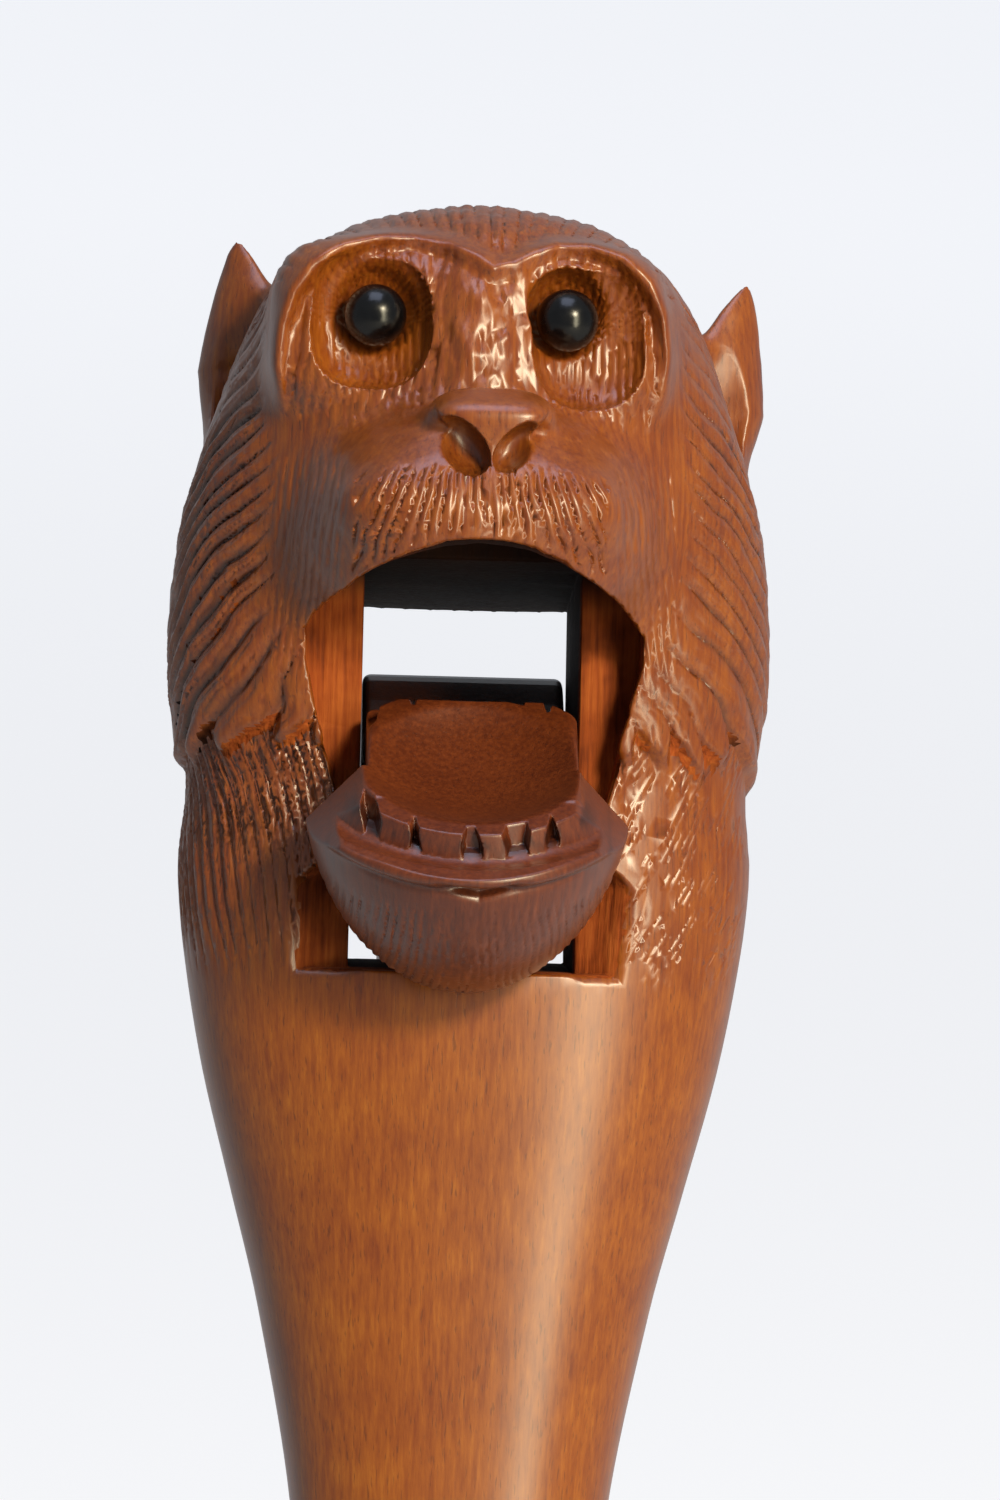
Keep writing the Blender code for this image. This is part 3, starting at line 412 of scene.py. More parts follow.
def head_strokes(x, y, z):
    """Where the gouge ran on the head: for coarse locks and fine strokes, a count of lanes and a depth in mm."""
    round_angle = np.arctan2(x, -(y + AXIS_AHEAD))
    out = np.abs(round_angle) * 22
    left = x < 0
    bend = wander(x, y, z, 7.0)
    masks, lanes, depths, finer = [], [], [], []

    def zone(mask, lane, depth, fine):
        masks.append(mask)
        lanes.append(lane)
        depths.append(depth + 0 * x)
        finer.append(fine + 0 * x)

    edge = -CREST_PLAN(x, z)
    face_side = ease(-0.6, -1.8, edge) + ease(-16, -12, y)
    clear = np.clip(face_side, 0, 1) * ease(0.3, 1.5, ears(x, y, z))
    cheek_lane = HAIR(out, z) + 0.55 * bend + 0.12 * wander(x, y, z, 2.6) + np.where(left, 0, 0.37)
    tips = 6.8 - 2.4 * np.abs(np.sin(math.pi * cheek_lane)) + 1.6 * wander(x, y, 0 * z, 4.5)
    low = ease(tips - 0.5, tips + 0.9, z)
    start = 17.0 - 3.5 * ease(17, 8, z)
    zone(
        ease(start, start + 6.5, out) * low * ease(49, 44, z) * ease(60, 52, out) * clear,
        cheek_lane, np.where(left, 0.75, 0.36) * (0.6 + 0.4 * ease(40, 24, z)), 0.22,
    )
    sweep = 2.4 * np.log1p(np.exp(np.clip((z + 4) / 2.4, -20, 20)))
    zone(
        ease(-15, -7, z + 1.5 * bend) * (1 - low) * ease(13, 17, out) * ease(60, 52, out),
        (out - 0.42 * sweep) / 1.15 + 0.6 * bend, np.where(left, 0.34, 0.0), 0.35,
    )
    zone(
        ease(52, 60, out) * ease(-15, -4, z) * ease(48, 44, z), round_angle * 22 / 1.9 + 0.9 * bend, 0.5, 0.3,
    )
    crown = ease(0.1, 1.0, -edge) * ease(40, 43, z) * ease(-12, -15, y)
    zone(
        np.maximum(crown, ease(44.5, 47, z)) * clear, np.arctan2(x - 0.5, z - 30) * 20 / 1.25 + 0.4 * bend, 0.21, 0.25,
    )
    masks = np.array(masks)
    order = np.sort(masks, axis=0)
    best = masks.argmax(axis=0)[None]
    clean = np.clip((order[-1] - order[-2]) * 1.6, 0, 1)
    lane, depth, fine = (np.take_along_axis(np.array(v), best, 0)[0] for v in (lanes, depths, finer))
    uneven = 0.8 + 0.55 * wander(np.floor(lane) * 5.3, z * 0 + 4, z / 3, 2.0)
    lock_depth = depth * order[-1] * clean * uneven
    fine_lane = lane * 3.0 + 0.5 * wander(x, y, z, 1.9)
    fine_depth = lock_depth * fine

    whisker_lane = np.arctan2(x, 41.5 - z) * 19 / 0.8 + 0.35 * wander(x, y, z, 2.2)
    dash = ease(-0.55, 0.35, wander(np.floor(whisker_lane) * 3.7, 0 * z, z, 1.5))
    whiskers = ease(27.6, 25.6, z + 0.1 * np.abs(x)) * ease(11.2, 9.6, np.abs(x)) * ease(-22, -25, y)
    whiskers = whiskers * (0.25 + 0.75 * ease(0.2, 1.1, mouth(x, y, z)))
    # short slanting dashes on the right side of the neck
    neck_lane = (out - 0.6 * z) / 0.72 + 0.5 * bend
    neck_dash = ease(-0.1, 0.45, wander(np.floor(neck_lane) * 3.1, 0 * z, z, 1.6))
    neck = (1 - left) * ease(-15, -9, z) * (1 - low) * ease(11, 14, out) * ease(34, 26, out)
    side_lane = (np.abs(x) + 0.12 * (z - 20)) / 0.66 + 0.3 * wander(x, y, z, 3.0)
    sides = (
        ease(10.0, 11.6, np.abs(x)) * ease(18.0, 15.4, np.abs(x)) * ease(31, 26, z) * ease(9, 13, z)
        * ease(-9, -13, y)
    )
    bare = ease(0.3, 1.6, nose(x, y, z))
    band = ease(0.2, 0.9, edge) * ease(29, 33, z) * ease(-17, -19, y) * bare
    band_lane = (x + 0.12 * (z - 40) * np.sign(x)) / 0.8 + 0.5 * wander(x, y, z, 1.6)
    eye_lane, eye_mask = band_lane, band * (0.6 + 0.4 * ease(2.6, 4.5, np.abs(x - 0.5)))
    for across, up, half, tall in SOCKETS:
        from_middle = np.hypot((x - across) / half, (z - up) / tall)
        inside = ease(1.04, 0.98, from_middle) * ease(-17, -19, y)
        around = np.where(z < up, x - across, np.arctan2(z - up, x - across) * 5) / 0.7 + 0.5 * wander(x, y, z, 1.4)
        eye_lane, eye_mask = np.where(inside > 0.02, around, eye_lane), np.maximum(eye_mask, inside)
    for mask, new_lane, new_depth in (
        (eye_mask, eye_lane, 0.11), (neck, neck_lane, 0.11 * neck_dash), (whiskers, whisker_lane, 0.34 * dash),
        (sides, side_lane, 0.12),
    ):
        here = mask > 0.02
        fine_lane = np.where(here, new_lane, fine_lane)
        fine_depth = np.where(here, mask * new_depth, fine_depth)
    mane = ease(15, 19, out) * ease(58, 48, out)
    step = mane * (0.65 * (1 - low) * ease(-5, 4, z) - 0.3 * low * ease(13, 9.5, z))
    return lane, lock_depth, fine_lane, fine_depth, step


def head_painted_shade(x, y, z):
    """Painted shade besides the grooves: darker in the nostrils and in a ring round the beads."""
    beds = np.minimum(*(np.hypot(x - b[0], z - b[2]) for b in BEADS.values()))
    painted_shade_round_beads = ease(3.6, 2.6, beds) * ease(-24.5, -22.5, y) * ease(-14, -16, y)
    return 0.5 * ease(0.5, -0.2, nostrils(x, y, z)) + 0.4 * painted_shade_round_beads


# ---- the jaw


DISH_RISE = 19.3  # height of the jaw's top over the pin
JAW_HALF = 8.5  # half width of the jaw's shank


def jaw_side_view():
    """Side view of the shank and knee as (y, z)."""
    start, bend, end = (-9.9, DISH_RISE), (-1.0, 6.5), (13.2, 5.9)
    points = [(-24.5, DISH_RISE)]
    for share in np.arange(12) / 12:
        weights = ((1 - share) ** 2, 2 * share * (1 - share), share**2)
        points.append(tuple(sum(w * p[k] for w, p in zip(weights, (start, bend, end))) for k in (0, 1)))
    for turn in np.linspace(0, math.pi / 2, 10):
        points.append((13.2 + 7.2 * math.sin(turn), -1.3 + 7.2 * math.cos(turn)))
    return points + [
        (20.4, -7.0), (18.4, -22.0), (7.2, -22.0), (7.4, -9.3), (5.6, -7.5), (2.7, -4.6), (-22.0, 5.6), (-24.5, 8.0),
    ]


JAW_SIDE_VIEW = jaw_side_view()

# the slots between the teeth: place across and width
TEETH = [(-8.3, 1.1), (-4.8, 0.55), (-0.3, 1.2), (3.3, 1.7), (6.1, 0.6)]

CHIN_ASIDE = -0.3
WING_FALL = 1.2  # how fast the chin's top falls away to its side tips


def chin(x, y, z):
    """The lower front quarter of an egg, with side tips that fall away and a thin rolled lip."""
    x, reach = x - CHIN_ASIDE, -y
    side_view = (np.abs((reach - 18) / 15.4) ** 2.4 + np.abs((z - 19) / 19.2) ** 2.4) ** (1 / 1.2)
    shape = (np.sqrt(side_view + (x / 13.6) ** 2) - 1) * 15.5
    roll = 0.55 * np.exp(-(((z - 17.3 + 0.05 * np.abs(x)) / 0.75) ** 2))
    notch = 0.7 * np.exp(-(((z - 15.8 - 0.28 * np.abs(x - 0.8)) / 0.45) ** 2)) * ease(4.2, 1.2, np.abs(x - 0.8))
    notch = notch + 0.25 * np.exp(-(((z - 16.1) / 0.4) ** 2)) * ease(11, 7, np.abs(x))
    shape = shape - roll + notch
    shape = keep_both(shape, z - DISH_RISE, 0.3)
    shape = np.maximum(np.maximum(shape, 19.6 - reach), 2.1 - z)
    wing = (z - DISH_RISE + WING_FALL * (np.abs(x) - JAW_HALF)) / math.hypot(1, WING_FALL)
    return keep_both(shape, wing, 0.2)


def lip_step(x, y, z):
    """The wood cut away ahead of the teeth, down to the hollow top of the lower lip."""
    reach = -y
    ring = np.hypot(x / 1.02, reach - 19) - 10.9
    slots = 0
    for place, wide in TEETH:
        edge = wide / 2 + 0.12 * np.sin(z * 2.2 + place)
        slots = slots + 1.3 * ease(edge + 0.22, edge - 0.22, np.abs(x - place - 0.1 * (DISH_RISE - z)))
    floor = 17.6 - 0.35 * np.sin(math.pi * np.clip(ring / 2.4, 0, 1)) - 0.5 * ease(6, 12, np.abs(x))
    return np.maximum(floor - z, -(ring + slots - (DISH_RISE - z) * 0.3))


def jaw_distance(x, y, z):
    shape = outline_distance(y, z, JAW_SIDE_VIEW)
    shape = keep_both(shape, np.abs(x) - np.interp(z, [-19.0, -6.0], [5.6, JAW_HALF]), 0.8)
    shape = join(shape, keep_both(REAR_BLANK.distance(x, y, np.minimum(z, -2)), z + 9, 1), 1.6)
    shape = join(shape, chin(x, y, z), 0.5)
    shape = cut(shape, lip_step(x, y, z), 0.2)
    ball = (8.9**2 + 2.6**2) / (2 * 2.6)
    shape = cut(shape, egg(x, y, z, (0, -19, DISH_RISE - 2.6 + ball), [ball] * 3), 0.3)
    shape = np.maximum(shape, PIN_HOLE - np.hypot(y, z))
    return np.maximum(shape, JAW_CUT - 2 - z)


def jaw_painted_shade(x, y, z):
    """Painted shade: darker on the wall against the teeth, and in a line under the rolled lip."""
    wall = np.abs(np.hypot(x / 1.02, y + 19) - 10.7)
    return (
        0.75 * ease(1.0, 0.3, wall) * ease(19.2, 18.6, z) * ease(16.5, 17.3, z) * ease(-22, -24, y)
        + 0.5 * ease(0.5, 0.1, np.abs(z - 16.4 + 0.04 * np.abs(x)))
    )


def jaw_strokes(x, y, z):
    """Strokes of the gouge down the chin."""
    bend = wander(x + 70, y, z, 5.0)
    front = ease(15.9, 14.2, z + 0.25 * np.abs(x)) * ease(-19.5, -22, y)
    lane = x / 0.7 + 0.4 * bend + 0.1 * (z - 8) * np.sign(x)
    side = 0.35 + 0.65 * ease(3, 7, np.abs(x - 1))
    depth = front * side * (0.13 + 0.12 * ease(8, 3, z)) * (0.8 + 0.7 * wander(np.floor(lane) * 4.1, 0 * z, z, 2.0))
    return lane, depth, lane * 2.3, depth * 0.3, 0 * x


# ---- from fields to meshes


def stretch(values, times):
    """A grid sampled that many times finer, with straight lines between."""
    for axis in range(3):
        count = (values.shape[axis] - 1) * times + 1
        place = np.arange(count) / times
        low = np.minimum(place.astype(int), values.shape[axis] - 2)
        shape = [1, 1, 1]
        shape[axis] = count
        share = (place - low).reshape(shape).astype(np.float32)
        values = values.take(low, axis) * (1 - share) + values.take(low + 1, axis) * share
    return values


def carve(distance, low, high, voxel):
    """Points and faces where a distance is zero. It is read coarsely, then finely near the surface."""
    times = 4
    coarse_axes = [np.arange(a, b + voxel * times, voxel * times) for a, b in zip(low, high)]
    coarse = distance(*np.meshgrid(*coarse_axes, indexing="ij")).astype(np.float32)
    fine = stretch(coarse, times)
    near = np.abs(fine) < voxel * times * 1.6
    spots = np.nonzero(near)
    fine[near] = distance(*(a + voxel * s for a, s in zip(low, spots)))
    grid = openvdb.FloatGrid(10.0)
    grid.copyFromArray(fine)
    points, _, quads = grid.convertToPolygons(isovalue=0.0, adaptivity=0.0)
    points = np.array(points, dtype=np.float64) * voxel + np.array(low)
    quads = np.array(quads)
    a, b, c = (points[quads[:, k]] for k in (0, 1, 2))
    if np.einsum("ij,ij->i", a, np.cross(b, c)).sum() < 0:
        quads = quads[:, ::-1]
    return points, quads


def slope(distance, points, step):
    """The distance's direction of growth at each point, of length 1, and its steepness."""
    columns = []
    for axis in range(3):
        shift = np.zeros(3)
        shift[axis] = step
        columns.append(distance(*(points + shift).T) - distance(*(points - shift).T))
    grown = np.stack(columns, axis=1) / (2 * step)
    steep = np.linalg.norm(grown, axis=1)
    return grown / np.maximum(steep, 1e-6)[:, None], steep


def settle(distance, points):
    """Moves points onto the surface."""
    for _ in range(2):
        away, steep = slope(distance, points, 0.03)
        shift = np.clip(distance(*points.T) / np.maximum(steep, 0.3), -VOXEL, VOXEL)
        points = points - away * shift[:, None]
    return points


def new_object(name, data):
    made = bpy.data.objects.new(name, data)
    bpy.context.scene.collection.objects.link(made)
    return made


def store(mesh, name, values):
    layer = mesh.attributes.new(name, "FLOAT", "POINT")
    layer.data.foreach_set("value", np.asarray(values, dtype=np.float32))


def vectors(items, key):
    flat = np.empty(len(items) * 3)
    items.foreach_get(key, flat)
    return flat.reshape(-1, 3)


def baked(thing):
    """The object's mesh with its modifiers' result, as a plain mesh."""
    graph = bpy.context.evaluated_depsgraph_get()
    mesh = bpy.data.meshes.new_from_object(thing.evaluated_get(graph), depsgraph=graph)
    thing.modifiers.clear()
    thing.data = mesh
    return mesh


def node(tree, kind, links=(), **settings):
    """Adds a node with its settings, and sets or links its inputs."""
    made = tree.nodes.new(kind)
    for name, value in settings.items():
        setattr(made, name, value)
    for key, value in dict(links).items():
        if isinstance(value, bpy.types.NodeSocket):
            tree.links.new(value, made.inputs[key])
        else:
            made.inputs[key].default_value = value
    return made


def maths(tree, operation, *values):
    """A maths node's output. Its values are numbers or other outputs."""
    return node(tree, "ShaderNodeMath", enumerate(values), operation=operation).outputs[0]


def stored(tree, name):
    return node(tree, "GeometryNodeInputNamedAttribute", {0: name}, data_type="FLOAT").outputs[0]


def gouge_tree():
    """Geometry Nodes: lowers a surface along lanes. Each layer reads a count of lanes and a depth in mm."""
    tree = bpy.data.node_groups.new("gouge_strokes", "GeometryNodeTree")
    for name, way, kind in (
        ("Geometry", "INPUT", "Geometry"), ("Depth", "INPUT", "Float"), ("Roundness", "INPUT", "Float"),
        ("Material", "INPUT", "Material"), ("Geometry", "OUTPUT", "Geometry"),
    ):
        tree.interface.new_socket(name, in_out=way, socket_type="NodeSocket" + kind)
    source = tree.nodes.new("NodeGroupInput").outputs
    total = stored(tree, "step")
    for layer in ("lock", "stroke"):
        wave = maths(tree, "SINE", maths(tree, "MULTIPLY", stored(tree, layer + "_lanes"), math.pi))
        ridge = maths(tree, "POWER", maths(tree, "ABSOLUTE", wave), source["Roundness"])
        valley = maths(tree, "SUBTRACT", 1.0, ridge)
        total = maths(tree, "MULTIPLY_ADD", valley, stored(tree, layer + "_depth"), total)
    total = maths(tree, "MULTIPLY", maths(tree, "MULTIPLY", total, source["Depth"]), -1.0)
    normal = node(tree, "GeometryNodeInputNormal").outputs[0]
    shift = node(tree, "ShaderNodeVectorMath", {0: normal, "Scale": total}, operation="SCALE").outputs[0]
    moved = node(tree, "GeometryNodeSetPosition", {"Geometry": source["Geometry"], "Offset": shift}).outputs[0]
    real = node(tree, "GeometryNodeRealizeInstances", {0: moved}).outputs[0]
    done = node(tree, "GeometryNodeSetMaterial", {"Geometry": real, "Material": source["Material"]}).outputs[0]
    node(tree, "NodeGroupOutput", {0: done})
    return tree


ROUNDNESS = 0.8
GOUGE = gouge_tree()


def furrow(strokes, x, y, z):
    """How far the strokes lower the surface, as the gouge tree has it: in all, and by the gouge's grooves alone."""
    lock, lock_depth, fine, fine_depth, step = strokes(x, y, z)
    grooves = (
        lock_depth * (1 - np.abs(np.sin(math.pi * lock)) ** ROUNDNESS)
        + fine_depth * (1 - np.abs(np.sin(math.pi * fine)) ** ROUNDNESS)
    )
    return grooves + step, grooves


def struck(outside, x, y, z, lowered=0.0):
    """1 on the carved outside, which the gouge may have lowered, and 0 on walls cut into the wood."""
    return ease(-0.75, -0.3, outside(x, y, z) + lowered)


def carve_top(name, distance, outside, strokes, low, high, count, material):
    """A lever's carved upper part: meshed, settled on its surface, gouged and thinned out."""
    points, quads = carve(distance, low, high, VOXEL)
    points = settle(distance, points)
    mesh = bpy.data.meshes.new(name)
    mesh.from_pydata(points.tolist(), [], quads.tolist())
    mesh.shade_smooth()
    where = points.T
    skin = struck(outside, *where)
    lock, lock_depth, fine, fine_depth, step = strokes(*where)
    for key, values in (
        ("lock_lanes", lock), ("lock_depth", lock_depth * skin), ("stroke_lanes", fine),
        ("stroke_depth", fine_depth * skin), ("step", step * skin),
    ):
        store(mesh, key, values)
    top = new_object(name, mesh)
    gouging = top.modifiers.new("gouge", "NODES")
    gouging.node_group = GOUGE
    sockets = {item.name: item.identifier for item in GOUGE.interface.items_tree if item.in_out == "INPUT"}
    gouging[sockets["Depth"]] = 1.0
    gouging[sockets["Roundness"]] = ROUNDNESS
    gouging[sockets["Material"]] = material
    thinning = top.modifiers.new("thin", "DECIMATE")
    thinning.ratio = min(1.0, count / (2 * len(quads)))
    baked(top)
    return top


FOOT_ROUND = 0.9  # radius of the rounded edge round a handle's foot


def add_handle(top, blank, cut_height, foot_height, sides, ring_step):
    """Swaps the carved part's lower cap for a plain lofted handle down to a flat foot."""
    shape = bmesh.new()
    shape.from_mesh(top.data)
    around = shape.verts[:] + shape.edges[:] + shape.faces[:]
    bmesh.ops.bisect_plane(
        shape, geom=around, plane_co=(0, 0, cut_height), plane_no=(0, 0, 1), clear_inner=True, dist=1e-5
    )
    open_edges = [edge for edge in shape.edges if edge.is_boundary]
    heights = np.full(sides, cut_height - 0.6)
    foot = np.full(sides, cut_height - 60.0)
    for _ in range(8):
        foot = foot_height(blank.ring(foot, sides))
    rows = max(2, int((cut_height - foot.min()) / ring_step))
    rings = []
    for k in range(rows + 1):
        share = k / rows
        rings.append(blank.ring(heights * (1 - share) + (foot + FOOT_ROUND) * share, sides))
    edge = blank.ring(foot, sides)
    middle = edge.mean(axis=0)
    for turn in (30, 60, 90):
        shrink = FOOT_ROUND * (1 - math.cos(math.radians(turn)))
        drop = FOOT_ROUND * (1 - math.sin(math.radians(turn)))
        row = blank.ring(foot + drop, sides)
        inward = middle - row
        inward[:, 2] = 0
        inward /= np.linalg.norm(inward, axis=1)[:, None]
        row = row + inward * shrink
        row[:, 2] += 0 if turn < 90 else foot_height(row) - row[:, 2]
        rings.append(row)
    made = [[shape.verts.new(point) for point in ring] for ring in rings]
    for upper, lower in zip(made, made[1:]):
        for k in range(sides):
            after = (k + 1) % sides
            shape.faces.new((upper[k], lower[k], lower[after], upper[after]))
    shape.faces.new(made[-1])
    first = {frozenset((made[0][k], made[0][(k + 1) % sides])) for k in range(sides)}
    ring_edges = [edge for edge in shape.edges if frozenset(edge.verts) in first]
    bmesh.ops.bridge_loops(shape, edges=open_edges + ring_edges)
    bmesh.ops.recalc_face_normals(shape, faces=shape.faces)
    for part in shape.faces:
        part.smooth = True
    shape.to_mesh(top.data)
    shape.free()


def finish_lever(top, distance, outside, strokes, stain, place, finishes):
    """Attributes for the finish, true normals from the fields, and the lever in its place."""
    mesh = top.data
    points = vectors(mesh.vertices, "co")
    where = points.T
    low, grooves = furrow(strokes, *where)
    skin = struck(outside, *where, low)
    for name in [layer.name for layer in mesh.attributes if layer.name.endswith(("_lanes", "_depth", "step"))]:
        mesh.attributes.remove(mesh.attributes[name])
    # The hollow attribute is the groove depth, darkened as gathered stain and painted shade, plus the painted shade
    # that stain() gives.
    store(mesh, "hollow", np.clip(grooves * skin / 0.6 + stain(*where), 0, 1))
    store(mesh, "skin", skin)

    def whole(x, y, z):
        low, _ = furrow(strokes, x, y, z)
        return distance(x, y, z) + low * struck(outside, x, y, z, low)

    away, _ = slope(whole, points, 0.06)
    normals = vectors(mesh.vertex_normals, "vector")
    flip = np.sum(away * normals, axis=1) < 0.2
    away[flip] = normals[flip]
    mesh.transform(place)
    turn = np.array(place.to_3x3()) / MM
    mesh.normals_split_custom_set_from_vertices((away @ turn.T).tolist())
    mesh.materials.clear()
    for finish in finishes:
        mesh.materials.append(finish)
    starts, corners = np.empty(len(mesh.polygons), int), np.empty(len(mesh.loops), int)
    mesh.polygons.foreach_get("loop_start", starts)
    mesh.loops.foreach_get("vertex_index", corners)
    sawn = np.minimum.reduceat(skin[corners], starts) < 0.5
    mesh.polygons.foreach_set("material_index", sawn.astype(np.int32))


# ---- finishes


def colour(hex_code):
    """A colour written in sRGB hex, as linear light."""
    parts = [int(hex_code[k:k + 2], 16) / 255 for k in (1, 3, 5)]
    return [p / 12.92 if p <= 0.04045 else ((p + 0.055) / 1.055) ** 2.4 for p in parts] + [1.0]


def new_material(name):
    made = bpy.data.materials.new(name)
    made.use_nodes = True
    tree = made.node_tree
    return made, tree, tree.nodes["Principled BSDF"]


def in_wood_frame(tree, tilt):
    """Object coordinates as millimetres in a lever's own frame: z runs along its grain, from the hinge pin."""
    spot = node(tree, "ShaderNodeTexCoord").outputs["Object"]
    pin = Matrix.Rotation(tilt, 3, "X") @ Vector(PIVOT)
    return node(
        tree, "ShaderNodeMapping", {"Vector": spot, "Location": -pin, "Rotation": (tilt, 0, 0), "Scale": (1000,) * 3}
    ).outputs[0]


def ramp(tree, value, stops):
    made = node(tree, "ShaderNodeValToRGB", {0: value})
    marks = made.color_ramp.elements
    while len(marks) < len(stops):
        marks.new(0.5)
    for mark, (place, tint) in zip(marks, stops):
        mark.position = place
        mark.color = colour(tint)
    return made.outputs[0]


def noise(tree, spot, scale, detail=2.0, roughness=0.5):
    links = {"Vector": spot, "Scale": scale, "Detail": detail, "Roughness": roughness}
    return node(tree, "ShaderNodeTexNoise", links).outputs[0]


def scaled(tree, spot, scale):
    return node(tree, "ShaderNodeMapping", {"Vector": spot, "Scale": scale}).outputs[0]


def ranged(tree, value, low, high, start, end, kind="LINEAR"):
    """A value from low to high carried over to start and end, and held there beyond them."""
    links = enumerate((value, low, high, start, end))
    return node(tree, "ShaderNodeMapRange", links, interpolation_type=kind).outputs[0]


def mixed(tree, share, base, tint):
    return node(tree, "ShaderNodeMix", {0: share, 6: base, 7: colour(tint)}, data_type="RGBA").outputs[2]


def surface(tree, shader, base, rough, height, strength, distance):
    """Wires a colour, a roughness and a bump into the shader."""
    bump = node(tree, "ShaderNodeBump", {"Height": height, "Strength": strength, "Distance": distance}).outputs[0]
    for key, value in (("Base Color", base), ("Roughness", rough), ("Normal", bump)):
        tree.links.new(value, shader.inputs[key])


def stained_wood(name, tilt, tints, coat, grit_size):
    """Fine-grained hardwood, stained reddish brown by hand and given a satin varnish.

    The stain takes unevenly, so the colour is blotched and streaked along the grain. The gouge cuts are darkened,
    partly for stain gathered in them and partly as painted shade, and the nostrils and the wood round the beads are
    darkened as painted shade. The varnish spreads a lamp's light into a broad streak that the grain breaks up.
    """
    made, tree, shader = new_material(name)
    spot = in_wood_frame(tree, tilt)
    long = scaled(tree, spot, (1.0, 1.0, 0.05))
    streak = noise(tree, long, 2.4, 5.0, 0.65)
    pores = noise(tree, scaled(tree, spot, (5.5, 5.5, 0.45)), 1.0)
    pores = ranged(tree, pores, 0.60, 0.72, 0.0, 1.0, "SMOOTHSTEP")
    tone = maths(tree, "MULTIPLY_ADD", noise(tree, spot, 0.16, 4.0, 0.6), 0.2, 0.25)
    tone = maths(tree, "MULTIPLY_ADD", streak, 0.42, tone)
    up = node(tree, "ShaderNodeSeparateXYZ", {0: spot}).outputs["Z"]
    carved = ranged(tree, up, -20.0, -4.0, 0.0, 1.0)
    tone = maths(tree, "MULTIPLY_ADD", carved, -0.05, tone)
    base = ramp(tree, tone, list(zip((0.34, 0.48, 0.60, 0.74), tints)))
    base = mixed(tree, maths(tree, "MULTIPLY", pores, 0.45), base, "#3A1608")
    # Painted shade, partly gathered stain: the hollow attribute darkens the gouge cuts, the nostrils and round the
    # beads.
    hollow = node(tree, "ShaderNodeAttribute", attribute_name="hollow").outputs["Fac"]
    base = mixed(tree, ranged(tree, hollow, 0.15, 0.9, 0.0, 0.88, "SMOOTHSTEP"), base, "#260D05")
    fibre = noise(tree, long, 2.2, 1.5)
    height = maths(tree, "MULTIPLY_ADD", noise(tree, spot, grit_size, 1.0), 0.5, fibre)
    height = maths(tree, "MULTIPLY_ADD", pores, -0.6, height)
    worked = ranged(tree, carved, 0.0, 1.0, 0.45, 1.0)
    surface(tree, shader, base, ranged(tree, streak, 0.3, 0.7, 0.36, 0.46), height, worked, 0.00003)
    for key, value in (
        ("Coat Weight", coat), ("Coat Roughness", 0.32), ("Coat IOR", 1.5), ("Specular IOR Level", 0.14), ("IOR", 1.5),
    ):
        shader.inputs[key].default_value = value
    return made


def sawn_wood(tilt):
    """The walls of the mouth and the mortise: sawn and chiselled, stained but not varnished.

    Bare fibres scatter the light, so nothing shines. The slot is painted darker, more the deeper it goes and up under
    the palate: painted shade. The saw left fine lines along the grain.
    """
    made, tree, shader = new_material("sawn_stained_hardwood")
    spot = in_wood_frame(tree, tilt)
    lines = noise(tree, scaled(tree, spot, (2.2, 2.2, 0.12)), 1.0, 4.0, 0.6)
    tone = maths(tree, "MULTIPLY_ADD", noise(tree, spot, 0.22, 3.0), 0.5, 0.0)
    tone = maths(tree, "MULTIPLY_ADD", lines, 0.5, tone)
    base = ramp(tree, tone, [(0.36, "#5E260D"), (0.5, "#8E431A"), (0.64, "#AC5C28")])
    parts = node(tree, "ShaderNodeSeparateXYZ", {0: spot}).outputs
    # Painted shade: the slot darkens towards near black deeper behind the lips and up under the palate.
    depth = ranged(tree, parts["Y"], -15.4, -11.0, 0.0, 0.96, "SMOOTHSTEP")
    roof = ranged(tree, parts["Z"], 17.0, 20.5, 0.0, 0.96, "SMOOTHSTEP")
    base = mixed(tree, maths(tree, "MAXIMUM", depth, roof), base, "#0C0605")
    surface(tree, shader, base, ranged(tree, lines, 0.3, 0.7, 0.72, 0.86), lines, 0.6, 0.0002)
    shader.inputs["IOR"].default_value = 1.25
    return made


def black_glass():
    """Pressed black glass: opaque, with a hard shine that is only broken by faint pressing marks."""
    made, tree, shader = new_material("pressed_black_glass")
    spot = in_wood_frame(tree, 0)
    marks = noise(tree, spot, 1.1, 3.0)
    shade = ramp(tree, marks, [(0.3, "#030304"), (0.7, "#08090B")])
    surface(tree, shader, shade, ranged(tree, marks, 0.3, 0.7, 0.2, 0.28), marks, 0.12, 0.0002)
    shader.inputs["IOR"].default_value = 1.4
    return made


def drawn_steel():
    """Drawn steel wire: grey, with faint rings left by the die."""
    made, tree, shader = new_material("drawn_steel")
    spot = in_wood_frame(tree, 0)
    rings = noise(tree, scaled(tree, spot, (3.0, 0.3, 0.3)), 2.0, 3.0)
    shade = ramp(tree, rings, [(0.3, "#8C8A86"), (0.7, "#B4B1AB")])
    tree.links.new(shade, shader.inputs["Base Color"])
    tree.links.new(ranged(tree, rings, 0.3, 0.7, 0.25, 0.42), shader.inputs["Roughness"])
    shader.inputs["Metallic"].default_value = 1.0
    return made


